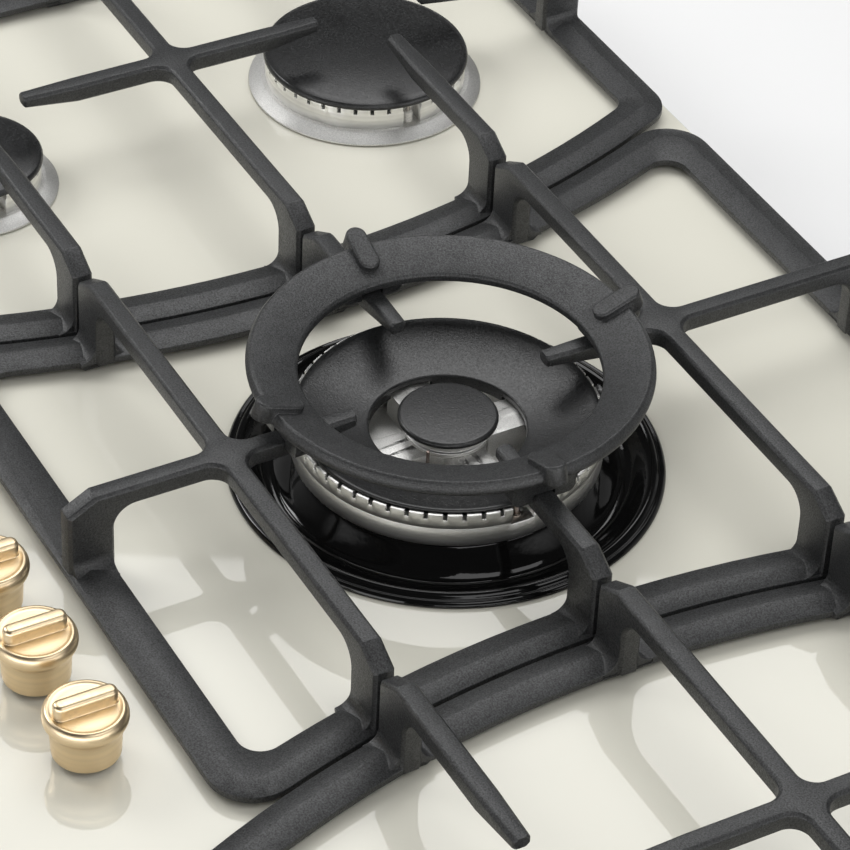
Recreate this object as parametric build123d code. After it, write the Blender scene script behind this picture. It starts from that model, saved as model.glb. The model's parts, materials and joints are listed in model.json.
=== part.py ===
from build123d import *
import math
import os

# Built-in gas hob: glass top, five burners, three cast-iron pan supports and five knobs.
# The origin is the centre of the worktop cut-out, on the worktop's upper face.
# +X is the user's right, +Y the back of the hob and +Z up. Lengths are millimetres.

# ------------------------------------------------------------------ glass top and cut-out
GLASS_W = 860.0
GLASS_D = 500.0
GLASS_T = 6.0
GLASS_CORNER_R = 8.0
GLASS_BEVEL = 1.2
GLASS_LAP_X = 13.5
GLASS_LAP_Y = 12.5
CUTOUT_W = GLASS_W - 2 * GLASS_LAP_X
CUTOUT_D = GLASS_D - 2 * GLASS_LAP_Y
WORKTOP_T = 40.0
SEAL_T = 2.0
SEAL_W = 8.0
SEAL_MARGIN = 3.0
TOP = SEAL_T + GLASS_T

# ------------------------------------------------------------------ clearances
REST_GAP = 0.3
RUN_GAP = 0.05
LOOSE_GAP = 0.4

# ------------------------------------------------------------------ base tray
TRAY_GAP_X = 3.5
TRAY_GAP_Y = 4.5
TRAY_W = CUTOUT_W - 2 * TRAY_GAP_X
TRAY_D = CUTOUT_D - 2 * TRAY_GAP_Y
TRAY_FLOOR_Z = -50.0
TRAY_T = 1.0
TRAY_FLANGE = 14.0
TRAY_CORNER_R = 6.0
POCKET_W = 70.0
POCKET_D = 70.0
POCKET_H = 26.0
VENT_L = 46.0
VENT_W = 4.0
VENT_PITCH = 12.0
VENTS = 6

# ------------------------------------------------------------------ burner places
BURNER_Y = 21.5
BAR_Y = 104.7
SIDE_X = 275.0

# ------------------------------------------------------------------ wok burner, heights above the glass
BOWL_R = 95.0
BOWL_T = 1.2
BOWL_HUB_R = 64.0
BOWL_BORE_R = 46.0
BOWL_HUB_Z = 9.2
BOWL_TROUGH_R = 76.0
BOWL_TROUGH_Z = -3.0
BOWL_CREST_R = 90.0
BOWL_CREST_Z = 4.4
BOWL_HOLE_R = 86.0
WOK_BARREL_R = 45.6
WOK_BARREL_T = 4.5
WOK_FLANGE_R = 63.0
WOK_FLANGE_T = 1.6
DECK_Z = 4.0
DECK_T = 4.0
HUB_R = 17.0
HUB_Z = 17.3
HUB_BORE_R = 11.0
ARM_W = 19.0
ARM_Z = 16.2
ARM_RIDGE = 1.1
AIR_WINDOWS = 4
AIR_WINDOW_W = 12.0
AIR_WINDOW_H = 9.0
AIR_WINDOW_Z = -21.0
RING_R = 67.1
RING_BORE_R = 38.0
RING_WALL = 4.0
RING_INNER_WALL = 3.0
RING_FLOOR_T = 3.8
RING_SEAT_R = 62.0
RING_SKIRT_Z = 10.4
RING_GROOVE_Z = 19.1
RING_GROOVE = 0.6
RING_Z = 26.8
RING_INNER_Z = 18.5
RING_SLOTS = 52
RING_SLOT_W = 1.9
RING_SLOT_H = 2.6
RING_SLOT_ANGLE = -2.0
NOTCH_W = 11.6
NOTCH_Z = 17.3
NOTCH_IN_R = 54.5
NOTCH_WALL = 2.0
NOTCH_WALL_Z = 21.8
CAP_R = 65.6
CAP_RIM_Z = 28.4
CAP_BORE_R = 33.8
CAP_LIP_Z = 20.8
CAP_LIP_H = 5.8
CAP_LIP_T = 1.8
CAP_DISH_R = 49.0
CAP_DISH_Z = 24.1
CAP_T = 2.8
CROWN_R = 18.3
CROWN_NECK_R = 17.2
CROWN_BORE_R = 8.4
CROWN_BAND_H = 1.6
CROWN_Z = 23.9
CROWN_SKIRT_H = 5.0
CROWN_SLOTS = 20
INNER_CAP_R = 21.6
INNER_CAP_Z = 27.4
INNER_CAP_T = 2.9
INNER_CAP_STUB_R = 8.0
INNER_CAP_STUB_H = 4.0
PIN_X = 15.3
PIN_Y = -17.9
PIN_Z = 24.0
PROBE_R = 59.5
PROBE_Z = 23.0

# ------------------------------------------------------------------ side burners, heights above the glass
SIDE_BURNERS = {
    "front_left": (-SIDE_X, BURNER_Y - BAR_Y, 35.0),
    "rear_left": (-SIDE_X, BURNER_Y + BAR_Y, 50.0),
    "rear_right": (SIDE_X, BURNER_Y + BAR_Y, 35.0),
    "front_right": (SIDE_X, BURNER_Y - BAR_Y, 24.0),
}
GASKET_T = 0.6
CUP_FLANGE = 7.0
CUP_FLANGE_T = 2.0
CUP_Z = 5.0
CUP_WALL = 2.5
BARREL_OVER = 1.0
GLASS_HOLE_OVER = 3.0
VENTURI_R = 7.0
VENTURI_WALL = 3.0
VENTURI_Z = -18.0
SIDE_CROWN_Z = 16.0
SIDE_CROWN_WALL = 9.0
SIDE_CROWN_FLOOR = 4.0
SIDE_SLOT_W = 1.8
SIDE_SLOT_H = 2.8
SIDE_SLOT_PITCH = 8.0
SIDE_CAP_T = 3.6
SIDE_CAP_DOME = 1.0
SIDE_CAP_OVER = 1.0
PORT_IN = 5.5
PORT_W = 9.0
PORT_GAP = 0.8

# ------------------------------------------------------------------ electrodes, thermocouples, screws
CERAMIC_R = 2.3
SPARK_PIN_R = 0.8
PROBE_ROD_R = 1.9
PROBE_TIP_R = 1.3
ROD_FOOT_Z = -22.0
ROD_HOLE_GAP = 0.2
SCREW_R = 2.0
SCREW_HEAD_R = 3.8
SCREW_HEAD_H = 2.4
SCREW_L = 8.0
BOSS_R = 4.6
SCREW_ANGLE = 58.0

# ------------------------------------------------------------------ burner bridges
BRIDGE_Z = -22.5
BRIDGE_T = 1.5
BRIDGE_W = 60.0
BRIDGE_FOOT = 14.0
BRIDGE_FRONT_Y = -190.0
BRIDGE_BACK_Y = 222.0
BRIDGE_HALF_X = 112.0

# ------------------------------------------------------------------ gas train
HOLDER_W = 20.0
HOLDER_EAR_L = 40.0
HOLDER_EAR_W = 10.0
HOLDER_EAR_T = 2.5
HOLDER_BOSS_R = 8.0
EAR_SCREW_Y = 15.0
HOLDER_Z = -16.0
HOLDER_FOOT_Z = -44.0
WOK_JET_OUT = 16.0
JET_R = 4.0
JET_H = 9.0
JET_BORE_R = 0.9
PIPE_Z = -35.0
PIPE_R = 4.0
PIPE_BORE_R = 3.0
PIPE_BEND_R = 18.0
NUT_R = 7.5
NUT_L = 9.0
NEAR_LANE_Y = -55.0
OUTER_LANE_X = 190.0
RAIL_PROFILE = 16.0
RAIL_BORE = 11.0
RAIL_Z = -34.0
INLET_EDGE_X = 28.0
INLET_EDGE_Y = 37.0
INLET_X = TRAY_W / 2.0 - INLET_EDGE_X
INLET_Y = TRAY_D / 2.0 - INLET_EDGE_Y
INLET_BLOCK = 26.0
INLET_BLOCK_H = 16.0
INLET_R = 10.48
INLET_PITCH_R = 9.9
INLET_BORE_R = 7.0
INLET_L = 12.0
INLET_RELIEF = 0.5
FEED_R = 7.0
FEED_BORE_R = 5.5
FEED_BEND_R = 18.0
FEED_X = INLET_X
FEED_RISE_Y = 110.0
FEED_RISE = 22.0
FEED_STUB = 55.0
RAIL_LEFT_X = -125.0
RAIL_RIGHT_X = FEED_X - FEED_STUB
INLET_NUT_R = 15.0
INLET_NUT_T = 5.0

# ------------------------------------------------------------------ taps and knobs
KNOBS = 5
KNOB_PITCH = 48.0
KNOB_TO_BURNER = 212.0
KNOB_Y = BURNER_Y - KNOB_TO_BURNER
TAP_W = 26.0
TAP_D = 34.0
TAP_FOOT_Z = -46.0
TAP_Z = -14.0
BONNET_R = 9.0
BONNET_Z = -6.0
PLUG_R = 6.0
PLUG_FOOT_Z = -41.0
PLUG_Z = -18.0
SPINDLE_R = 4.0
SPINDLE_FOOT_Z = -27.0
SPINDLE_SHOULDER_Z = -22.0
TANG_W = 2.4
PASSAGE_R = 2.0
SPINDLE_HOLE_R = 6.0
SPINDLE_SEAL_R = 10.0
SPINDLE_SEAL_T = 1.5
PUSH_TRAVEL = 2.5
KNOB_FOOT_Z = 3.2
KNOB_NECK_R = 14.0
KNOB_HOLLOW_R = 11.5
KNOB_RIM_R = 17.3
KNOB_RIM_Z = 22.0
KNOB_RIM_H = 6.0
KNOB_FACE_Z = 25.4
KNOB_HUB_R = 7.0
KNOB_SOCKET_Z = 20.0
GRIP_L = 27.0
GRIP_W = 7.0
GRIP_H = 6.5
SWITCH_W = 22.0
SWITCH_D = 7.0
SWITCH_H = 8.0
TAP_RAIL_W = 232.0
TAP_RAIL_D = 28.0

# ------------------------------------------------------------------ ignition and mains
MODULE_X = 140.0
MODULE_Y = 195.0
MODULE_W = 70.0
MODULE_D = 42.0
MODULE_H = 26.0
TERMINAL_X = 40.0
TERMINAL_Y = 195.0
TERMINAL_W = 40.0
TERMINAL_D = 24.0
TERMINAL_H = 18.0
GLAND_X = 40.0
GLAND_Y = 160.0
GLAND_R = 9.0
GLAND_FLANGE_R = 12.0
GLAND_BORE_R = 3.6
GLAND_H = 14.0
GLAND_FLANGE_T = 3.0

# ------------------------------------------------------------------ worktop clamps
CLAMP_EDGE_X = 83.0
CLAMP_X = TRAY_W / 2.0 - CLAMP_EDGE_X
CLAMP_W = 22.0
CLAMP_T = 2.0
CLAMP_IN = 24.0
CLAMP_REACH = 9.0

# ------------------------------------------------------------------ pan supports, heights above the glass
WAIST_X = 130.0
WAIST_R = 520.0
SPLIT_GAP = 2.0
CENTRE_FRONT = 178.5
CENTRE_BACK = 224.0
SIDE_FRONT_Y = -234.0
SIDE_BACK_Y = 245.5
SIDE_OUTER_X = 417.0
FRAME_CORNER_R = 20.0
WINDOW_CORNER_R = 10.0
RAIL_W = 19.5
RAIL_LIFT = 3.6
RAIL_EDGE = 6.8
RAIL_RIDGE = 8.8
RIDGE_IN = 9.0
RIDGE_W = 1.0
BAR_TOP = 43.8
BAR_W = 9.4
BAR_H = 9.2
BAR_CUT = 1.4
BAR_FILLET_R = 8.0
TIP_TAPER = 27.0
TIP_W = 7.6
TIP_H = 5.9
TIP_ROUND = 0.8
WOK_TIP_R = 45.8
SIDE_TIP_R = 28.0
LEG_W = 20.5
LEG_SLOPE = 12.5
LEG_DROP = 7.0
LEG_ARCH_R = 10.0
LEG_SET_IN = 0.6
LEG_LAP = 8.0
FLARE = 7.0
FOOT_TOP_W = 25.0
FOOT_BASE_W = 18.0
FOOT_INSET = 2.5
PAD_R = 4.0
PAD_SHOWN = 0.9
PAD_SUNK = 2.4

# ------------------------------------------------------------------ wok ring, heights above the glass
WOK_RING_R = 84.3
WOK_RING_BORE_R = 64.5
WOK_RING_Z = 59.6
WOK_RING_T = 6.6
CONE_DEG = 20.0
LUG_IN_R = 70.5
LUG_OUT_R = 91.8
LUG_W = 9.5
LUG_H = 3.4
LUG_SUNK = 5.0
LUG_ROUND_R = 1.2
FORK_IN_R = 70.0
FORK_OUT_R = 80.5
FORK_TAB_W = 9.8
FORK_ROUND_R = 4.0
FORK_FOOT_Z = 40.3
FORK_TOP_Z = 53.0

UP = (Align.CENTER, Align.CENTER, Align.MIN)


# ------------------------------------------------------------------ helpers
def turned(profile, x=0.0, y=0.0, z=0.0):
    """Solid of revolution about a vertical axis at x, y, from (radius, height) points."""
    outline = Polyline(*[(radius, 0, height) for radius, height in profile], close=True)
    return Pos(x, y, z) * revolve(make_face(outline), Axis.Z)


def rod(radius, low, high, x=0.0, y=0.0):
    """Upright cylinder between two heights."""
    return Pos(x, y, low) * Cylinder(radius, high - low, align=UP)


def block(width, depth, low, high, x=0.0, y=0.0):
    """Upright box between two heights."""
    return Pos(x, y, low) * Box(width, depth, high - low, align=UP)


def around(count, start=0.0):
    """Rotations that spread copies evenly about Z."""
    return [Rot(0, 0, start + index * 360.0 / count) for index in range(count)]


def knob_xs():
    """X of each knob, left to right."""
    first = -KNOB_PITCH * (KNOBS - 1) / 2.0
    return [first + index * KNOB_PITCH for index in range(KNOBS)]


def boss_circle(outer, wall):
    """Radius of the circle of screw bosses that lap into the inside of a barrel."""
    return outer - wall - BOSS_R + 1


def screw(x, y, seat_z):
    """Pan-head screw that enters upwards, with its head below the seat."""
    head = rod(SCREW_HEAD_R, seat_z - SCREW_HEAD_H, seat_z, x, y)
    return head + rod(SCREW_R, seat_z, seat_z + SCREW_L, x, y)


def write(name, shape):
    export_step(shape, f"parts/{name}.step")


# ------------------------------------------------------------------ glass, seal and tray
def glass_top():
    """Tempered glass with holes for burners and spindles."""
    plate = extrude(RectangleRounded(GLASS_W, GLASS_D, GLASS_CORNER_R), GLASS_T)
    plate = chamfer(plate.edges().group_by(Axis.Z)[-1], GLASS_BEVEL)
    plate = Pos(0, 0, SEAL_T) * plate
    plate -= rod(BOWL_HOLE_R, 0, TOP + 1, 0, BURNER_Y)
    for x, y, cap_r in SIDE_BURNERS.values():
        plate -= rod(cap_r + GLASS_HOLE_OVER, 0, TOP + 1, x, y)
    for x in knob_xs():
        plate -= rod(SPINDLE_HOLE_R, 0, TOP + 1, x, KNOB_Y)
    return plate


def worktop_seal():
    """Foam strip between the glass and the worktop, round the cut-out."""
    inner_w = CUTOUT_W + 2 * SEAL_MARGIN
    inner_d = CUTOUT_D + 2 * SEAL_MARGIN
    strip = Rectangle(inner_w + 2 * SEAL_W, inner_d + 2 * SEAL_W) - Rectangle(inner_w, inner_d)
    return extrude(strip, SEAL_T)


def pocket(grow):
    """Space of the raised pocket at the back right corner of the tray."""
    width = POCKET_W + grow
    depth = POCKET_D + grow
    x = TRAY_W / 2.0 - width / 2.0
    y = TRAY_D / 2.0 - depth / 2.0
    return block(width, depth, TRAY_FLOOR_Z - 1, TRAY_FLOOR_Z + POCKET_H + grow, x, y)


def base_tray():
    """Sheet-steel tray bonded under the glass, with a raised pocket for the gas inlet."""
    shell = Pos(0, 0, TRAY_FLOOR_Z) * extrude(
        RectangleRounded(TRAY_W, TRAY_D, TRAY_CORNER_R), SEAL_T - TRAY_FLOOR_Z
    )
    inner_w = TRAY_W - 2 * TRAY_T
    inner_d = TRAY_D - 2 * TRAY_T
    hollow = block(inner_w, inner_d, TRAY_FLOOR_Z + TRAY_T, SEAL_T - TRAY_T)
    mouth = block(inner_w - 2 * TRAY_FLANGE, inner_d - 2 * TRAY_FLANGE, TRAY_FLOOR_Z + TRAY_T, SEAL_T + 1)
    tray = shell - pocket(0) - (hollow + mouth - pocket(TRAY_T))
    tray -= rod(INLET_R + REST_GAP, TRAY_FLOOR_Z, 0, INLET_X, INLET_Y)
    tray -= rod(GLAND_R, TRAY_FLOOR_Z - 1, 0, GLAND_X, GLAND_Y)
    for side in (-1, 1):
        for index in range(VENTS):
            x = side * SIDE_X / 2.0 + (index - (VENTS - 1) / 2.0) * VENT_PITCH
            tray -= block(VENT_W, VENT_L, TRAY_FLOOR_Z - 1, TRAY_FLOOR_Z + TRAY_T + 1, x, -SIDE_X / 2.0)
    for x, y in clamp_places():
        tray -= rod(SCREW_R, TRAY_FLOOR_Z - 1, TRAY_FLOOR_Z + TRAY_T + 1, x, y)
    return tray


# ------------------------------------------------------------------ worktop clamps
def clamp_places():
    """Screw places of the four clamps, under the front and back edges of the tray."""
    y = TRAY_D / 2.0 - CLAMP_IN / 2.0
    return [(side_x * CLAMP_X, side_y * y) for side_x in (-1, 1) for side_y in (-1, 1)]


def worktop_clamps():
    """Cranked strips that hook under the worktop."""
    clamps = []
    for x, y in clamp_places():
        out = math.copysign(1, y)
        edge = out * (CUTOUT_D / 2.0 + CLAMP_REACH)
        root = y - out * CLAMP_IN / 2.0
        low = TRAY_FLOOR_Z - CLAMP_T
        strip = block(CLAMP_W, abs(edge - root), low, TRAY_FLOOR_Z, x, (edge + root) / 2.0)
        hook_y = edge - out * CLAMP_T / 2.0
        strip += block(CLAMP_W, CLAMP_T, low, -WORKTOP_T, x, hook_y)
        clamps.append(strip - rod(SCREW_R, low - 1, TRAY_FLOOR_Z + 1, x, y))
    return Compound(clamps)


def clamp_screws():
    """Screws that hold the clamps to the tray."""
    return [screw(x, y, TRAY_FLOOR_Z - CLAMP_T) for x, y in clamp_places()]


# ------------------------------------------------------------------ wok burner
def wok_bowl():
    """Enamelled drip bowl: hub seat, trough and rolled rim."""
    t = BOWL_T
    upper = [
        (BOWL_BORE_R, BOWL_HUB_Z),
        (BOWL_HUB_R, BOWL_HUB_Z),
        (BOWL_HUB_R + 1.6, BOWL_HUB_Z - 0.9),
        (BOWL_TROUGH_R - 3.0, BOWL_TROUGH_Z + 1.6),
        (BOWL_TROUGH_R, BOWL_TROUGH_Z),
        (BOWL_TROUGH_R + 3.6, BOWL_TROUGH_Z + 0.4),
        (BOWL_CREST_R - 4.0, BOWL_CREST_Z - 1.9),
        (BOWL_CREST_R - 1.4, BOWL_CREST_Z - 0.3),
        (BOWL_CREST_R, BOWL_CREST_Z),
        (BOWL_CREST_R + 1.2, BOWL_CREST_Z - 0.5),
        (BOWL_CREST_R + 2.2, BOWL_CREST_Z - 1.7),
        (BOWL_CREST_R + 3.2, BOWL_CREST_Z - 1.5),
        (BOWL_R - 0.6, BOWL_CREST_Z - 2.4),
        (BOWL_R, REST_GAP + 0.6),
        (BOWL_R - 0.4, REST_GAP),
    ]
    lower = [
        (BOWL_R - 2.4, REST_GAP),
        (BOWL_CREST_R + 2.6, BOWL_CREST_Z - 1.7 - t),
        (BOWL_CREST_R + 0.4, BOWL_CREST_Z - t),
        (BOWL_CREST_R - 1.2, BOWL_CREST_Z - 0.4 - t),
        (BOWL_CREST_R - 3.4, BOWL_CREST_Z - 2.1 - t),
        (BOWL_TROUGH_R + 3.8, BOWL_TROUGH_Z + 0.2 - t),
        (BOWL_TROUGH_R - 0.6, BOWL_TROUGH_Z - t),
        (BOWL_TROUGH_R - 4.0, BOWL_TROUGH_Z + 1.0 - t),
        (BOWL_HUB_R + 0.6, BOWL_HUB_Z - 1.2 - t),
        (BOWL_HUB_R - 0.6, BOWL_HUB_Z - t),
        (BOWL_BORE_R, BOWL_HUB_Z - t),
    ]
    bowl = turned(upper + lower, 0, BURNER_Y, TOP)
    return bowl - rod(PROBE_ROD_R + ROD_HOLE_GAP, 0, TOP + BOWL_HUB_Z + 1, PROBE_R, BURNER_Y)


def wok_burner_body():
    """Casting under the bowl: barrel, deck, hub and the four gas arms."""
    foot = BRIDGE_Z - TOP
    inner = WOK_BARREL_R - WOK_BARREL_T
    flange_z = BOWL_HUB_Z - BOWL_T
    section = [
        (HUB_BORE_R, HUB_Z),
        (HUB_R, HUB_Z),
        (HUB_R, DECK_Z),
        (inner, DECK_Z),
        (inner, flange_z),
        (WOK_BARREL_R - 0.2, flange_z + 0.6),
        (WOK_BARREL_R, flange_z),
        (WOK_FLANGE_R, flange_z),
        (WOK_FLANGE_R, flange_z - WOK_FLANGE_T),
        (WOK_BARREL_R, flange_z - WOK_FLANGE_T),
        (WOK_BARREL_R, foot),
        (inner, foot),
        (inner, DECK_Z - DECK_T),
        (HUB_BORE_R, DECK_Z - DECK_T),
    ]
    body = turned(section, 0, 0, TOP)
    half = ARM_W / 2.0
    arm_face = make_face(
        Polyline(
            (HUB_R - 2, -half, TOP + DECK_Z),
            (HUB_R - 2, -half, TOP + ARM_Z),
            (HUB_R - 2, 0, TOP + ARM_Z + ARM_RIDGE),
            (HUB_R - 2, half, TOP + ARM_Z),
            (HUB_R - 2, half, TOP + DECK_Z),
            close=True,
        )
    )
    arm = extrude(arm_face, RING_BORE_R - HUB_R + 2, dir=(1, 0, 0))
    arm &= rod(RING_BORE_R - LOOSE_GAP, TOP, TOP + HUB_Z)
    for turn in around(4):
        body += turn * arm
    body -= rod(HUB_BORE_R, TOP - DECK_T, TOP + HUB_Z + 1)
    for angle in (90 - SCREW_ANGLE, 270 - SCREW_ANGLE):
        place = Rot(0, 0, angle) * Pos(boss_circle(WOK_BARREL_R, WOK_BARREL_T), 0, 0)
        body += place * rod(BOSS_R, BRIDGE_Z, TOP + DECK_Z - DECK_T + 1)
        body -= place * rod(SCREW_R, BRIDGE_Z - 1, BRIDGE_Z + SCREW_L)
    body -= rod(CERAMIC_R + ROD_HOLE_GAP, 0, TOP + DECK_Z + 1, PIN_X, PIN_Y)
    body -= rod(PROBE_ROD_R + ROD_HOLE_GAP, 0, TOP + flange_z + 1, PROBE_R, 0)
    body -= air_windows(WOK_BARREL_R)
    return Pos(0, BURNER_Y, 0) * body


def air_windows(radius):
    """Windows in a barrel, above its bridge, that let air in to the burner."""
    window = block(2 * radius, AIR_WINDOW_W, AIR_WINDOW_Z, AIR_WINDOW_Z + AIR_WINDOW_H, radius)
    window -= rod(radius - 2 * WOK_BARREL_T, AIR_WINDOW_Z, AIR_WINDOW_Z + AIR_WINDOW_H)
    return [turn * window for turn in around(AIR_WINDOWS)]


def wok_flame_ring():
    """Outer flame ring: polished skirt, groove and slotted band."""
    inner_wall_r = RING_BORE_R + RING_INNER_WALL
    outer_wall_r = RING_R - RING_WALL
    floor_z = BOWL_HUB_Z + RING_FLOOR_T
    section = [
        (RING_BORE_R, BOWL_HUB_Z),
        (RING_SEAT_R, BOWL_HUB_Z),
        (RING_SEAT_R, RING_SKIRT_Z),
        (RING_R, RING_SKIRT_Z),
        (RING_R, RING_GROOVE_Z - RING_GROOVE),
        (RING_R - RING_GROOVE, RING_GROOVE_Z - RING_GROOVE / 2.0),
        (RING_R - RING_GROOVE, RING_GROOVE_Z),
        (RING_R, RING_GROOVE_Z + RING_GROOVE),
        (RING_R, RING_Z),
        (outer_wall_r, RING_Z),
        (outer_wall_r, floor_z),
        (inner_wall_r, floor_z),
        (inner_wall_r, RING_INNER_Z),
        (RING_BORE_R, RING_INNER_Z),
    ]
    ring = turned(section, 0, 0, TOP)
    mid_r = (RING_R + outer_wall_r) / 2.0
    slot = block(
        RING_WALL + 4, RING_SLOT_W, TOP + RING_Z - RING_SLOT_H, TOP + RING_Z + 1, mid_r
    )
    for turn in around(RING_SLOTS, RING_SLOT_ANGLE):
        ring -= turn * slot
    wall_in_r = NOTCH_IN_R - NOTCH_WALL
    wall_mid_r = (wall_in_r + mid_r) / 2.0
    wall_l = mid_r - wall_in_r
    wall_w = NOTCH_W + 2 * NOTCH_WALL
    ring += block(wall_l, wall_w, TOP + floor_z, TOP + NOTCH_WALL_Z, wall_mid_r)
    notch_l = RING_R + 2 - NOTCH_IN_R
    ring -= block(notch_l, NOTCH_W, TOP + NOTCH_Z, TOP + RING_Z + 1, NOTCH_IN_R + notch_l / 2.0)
    ring -= rod(PROBE_ROD_R + ROD_HOLE_GAP, 0, TOP + NOTCH_Z + 1, PROBE_R)
    return Pos(0, BURNER_Y, 0) * ring


def wok_ring_cap():
    """Dished annular cap over the outer flame ring."""
    rim_low = RING_Z + REST_GAP
    guide_r = RING_R - RING_WALL - LOOSE_GAP
    lip_low = CAP_LIP_Z - CAP_LIP_H
    under_r = CAP_BORE_R + CAP_LIP_T
    dish = [
        Line((CAP_R - 1.8, 0, CAP_RIM_Z), (CAP_R - 0.5, 0, CAP_RIM_Z)),
        Line((CAP_R - 0.5, 0, CAP_RIM_Z), (CAP_R, 0, CAP_RIM_Z - 0.5)),
        Line((CAP_R, 0, CAP_RIM_Z - 0.5), (CAP_R, 0, rim_low)),
        Line((CAP_R, 0, rim_low), (guide_r, 0, rim_low)),
        Line((guide_r, 0, rim_low), (guide_r, 0, rim_low - 2.6)),
        Line((guide_r, 0, rim_low - 2.6), (guide_r - 2.2, 0, rim_low - 2.6)),
        ThreePointArc(
            (guide_r - 2.2, 0, rim_low - 2.6),
            (CAP_DISH_R, 0, CAP_DISH_Z - CAP_T),
            (under_r, 0, CAP_LIP_Z - CAP_LIP_T),
        ),
        Line((under_r, 0, CAP_LIP_Z - CAP_LIP_T), (under_r, 0, lip_low)),
        Line((under_r, 0, lip_low), (CAP_BORE_R, 0, lip_low)),
        Line((CAP_BORE_R, 0, lip_low), (CAP_BORE_R, 0, CAP_LIP_Z - 0.5)),
        Line((CAP_BORE_R, 0, CAP_LIP_Z - 0.5), (CAP_BORE_R + 0.6, 0, CAP_LIP_Z)),
        ThreePointArc(
            (CAP_BORE_R + 0.6, 0, CAP_LIP_Z), (CAP_DISH_R, 0, CAP_DISH_Z), (CAP_R - 1.8, 0, CAP_RIM_Z)
        ),
    ]
    cap = revolve(make_face(dish), Axis.Z)
    arm_gap = block(ARM_W + 2 * LOOSE_GAP, 2 * CAP_R, lip_low - 1, HUB_Z + LOOSE_GAP)
    for turn in around(2):
        cap -= Rot(0, 0, 90) * turn * arm_gap
        cap -= turn * arm_gap
    return Pos(0, BURNER_Y, TOP) * cap


def wok_inner_crown():
    """Small stepped flame crown on the hub."""
    seat = HUB_Z + REST_GAP
    skirt_r = HUB_BORE_R - LOOSE_GAP
    section = [
        (CROWN_BORE_R, CROWN_Z),
        (CROWN_NECK_R, CROWN_Z),
        (CROWN_NECK_R, seat + CROWN_BAND_H + 0.4),
        (CROWN_R, seat + CROWN_BAND_H),
        (CROWN_R, seat),
        (skirt_r, seat),
        (skirt_r, seat - CROWN_SKIRT_H),
        (CROWN_BORE_R, seat - CROWN_SKIRT_H),
    ]
    crown = turned(section, 0, 0, TOP)
    slot = block(12, SIDE_SLOT_W / 2.0, TOP + CROWN_Z - 1.6, TOP + CROWN_Z + 1, CROWN_NECK_R)
    for turn in around(CROWN_SLOTS):
        crown -= turn * slot
    return Pos(0, BURNER_Y, 0) * crown


def wok_inner_cap():
    """Small centre cap with a locating stub."""
    low = INNER_CAP_Z - INNER_CAP_T
    section = [
        (0, INNER_CAP_Z),
        (INNER_CAP_R - 1.2, INNER_CAP_Z - 0.2),
        (INNER_CAP_R - 0.3, INNER_CAP_Z - 0.7),
        (INNER_CAP_R, INNER_CAP_Z - 1.3),
        (INNER_CAP_R, low + 0.3),
        (INNER_CAP_R - 0.6, low),
        (INNER_CAP_STUB_R, low),
        (INNER_CAP_STUB_R, low - INNER_CAP_STUB_H),
        (0, low - INNER_CAP_STUB_H),
    ]
    return turned(section, 0, BURNER_Y, TOP)


# ------------------------------------------------------------------ side burners
def burner_gaskets():
    """Flat gaskets between the side cups and the glass."""
    rings = []
    for x, y, cap_r in SIDE_BURNERS.values():
        ring = rod(cap_r + CUP_FLANGE - 1, TOP, TOP + GASKET_T, x, y)
        rings.append(ring - rod(cap_r + GLASS_HOLE_OVER, TOP - 1, TOP + GASKET_T + 1, x, y))
    return Compound(rings)


def side_cup(x, y, cap_r):
    """Cup of a side burner: flange on the glass, barrel, deck and venturi."""
    outer = cap_r + BARREL_OVER
    inner = outer - CUP_WALL
    foot = BRIDGE_Z - TOP
    flange_r = cap_r + CUP_FLANGE
    deck_low = CUP_Z - CUP_WALL
    tube_r = VENTURI_R + VENTURI_WALL
    section = [
        (VENTURI_R, CUP_Z),
        (outer, CUP_Z),
        (flange_r, GASKET_T + CUP_FLANGE_T / 2.0),
        (flange_r, GASKET_T),
        (outer, GASKET_T),
        (outer, foot),
        (inner, foot),
        (inner, deck_low),
        (tube_r, deck_low),
        (tube_r - 1.5, VENTURI_Z + 5),
        (VENTURI_R, VENTURI_Z + 5),
    ]
    cup = turned(section, 0, 0, TOP)
    for angle in (SCREW_ANGLE, SCREW_ANGLE + 180):
        place = Rot(0, 0, angle) * Pos(boss_circle(outer, CUP_WALL), 0, 0)
        cup += place * rod(BOSS_R, BRIDGE_Z, TOP + deck_low + 1)
        cup -= place * rod(SCREW_R, BRIDGE_Z - 1, BRIDGE_Z + SCREW_L)
    cup -= rod(CERAMIC_R + ROD_HOLE_GAP, TOP, TOP + CUP_Z + 1, cap_r - PORT_IN, 0)
    cup -= rod(PROBE_ROD_R + ROD_HOLE_GAP, TOP, TOP + CUP_Z + 1, PORT_IN - cap_r, 0)
    cup -= air_windows(outer)
    return Pos(x, y, 0) * cup


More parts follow.
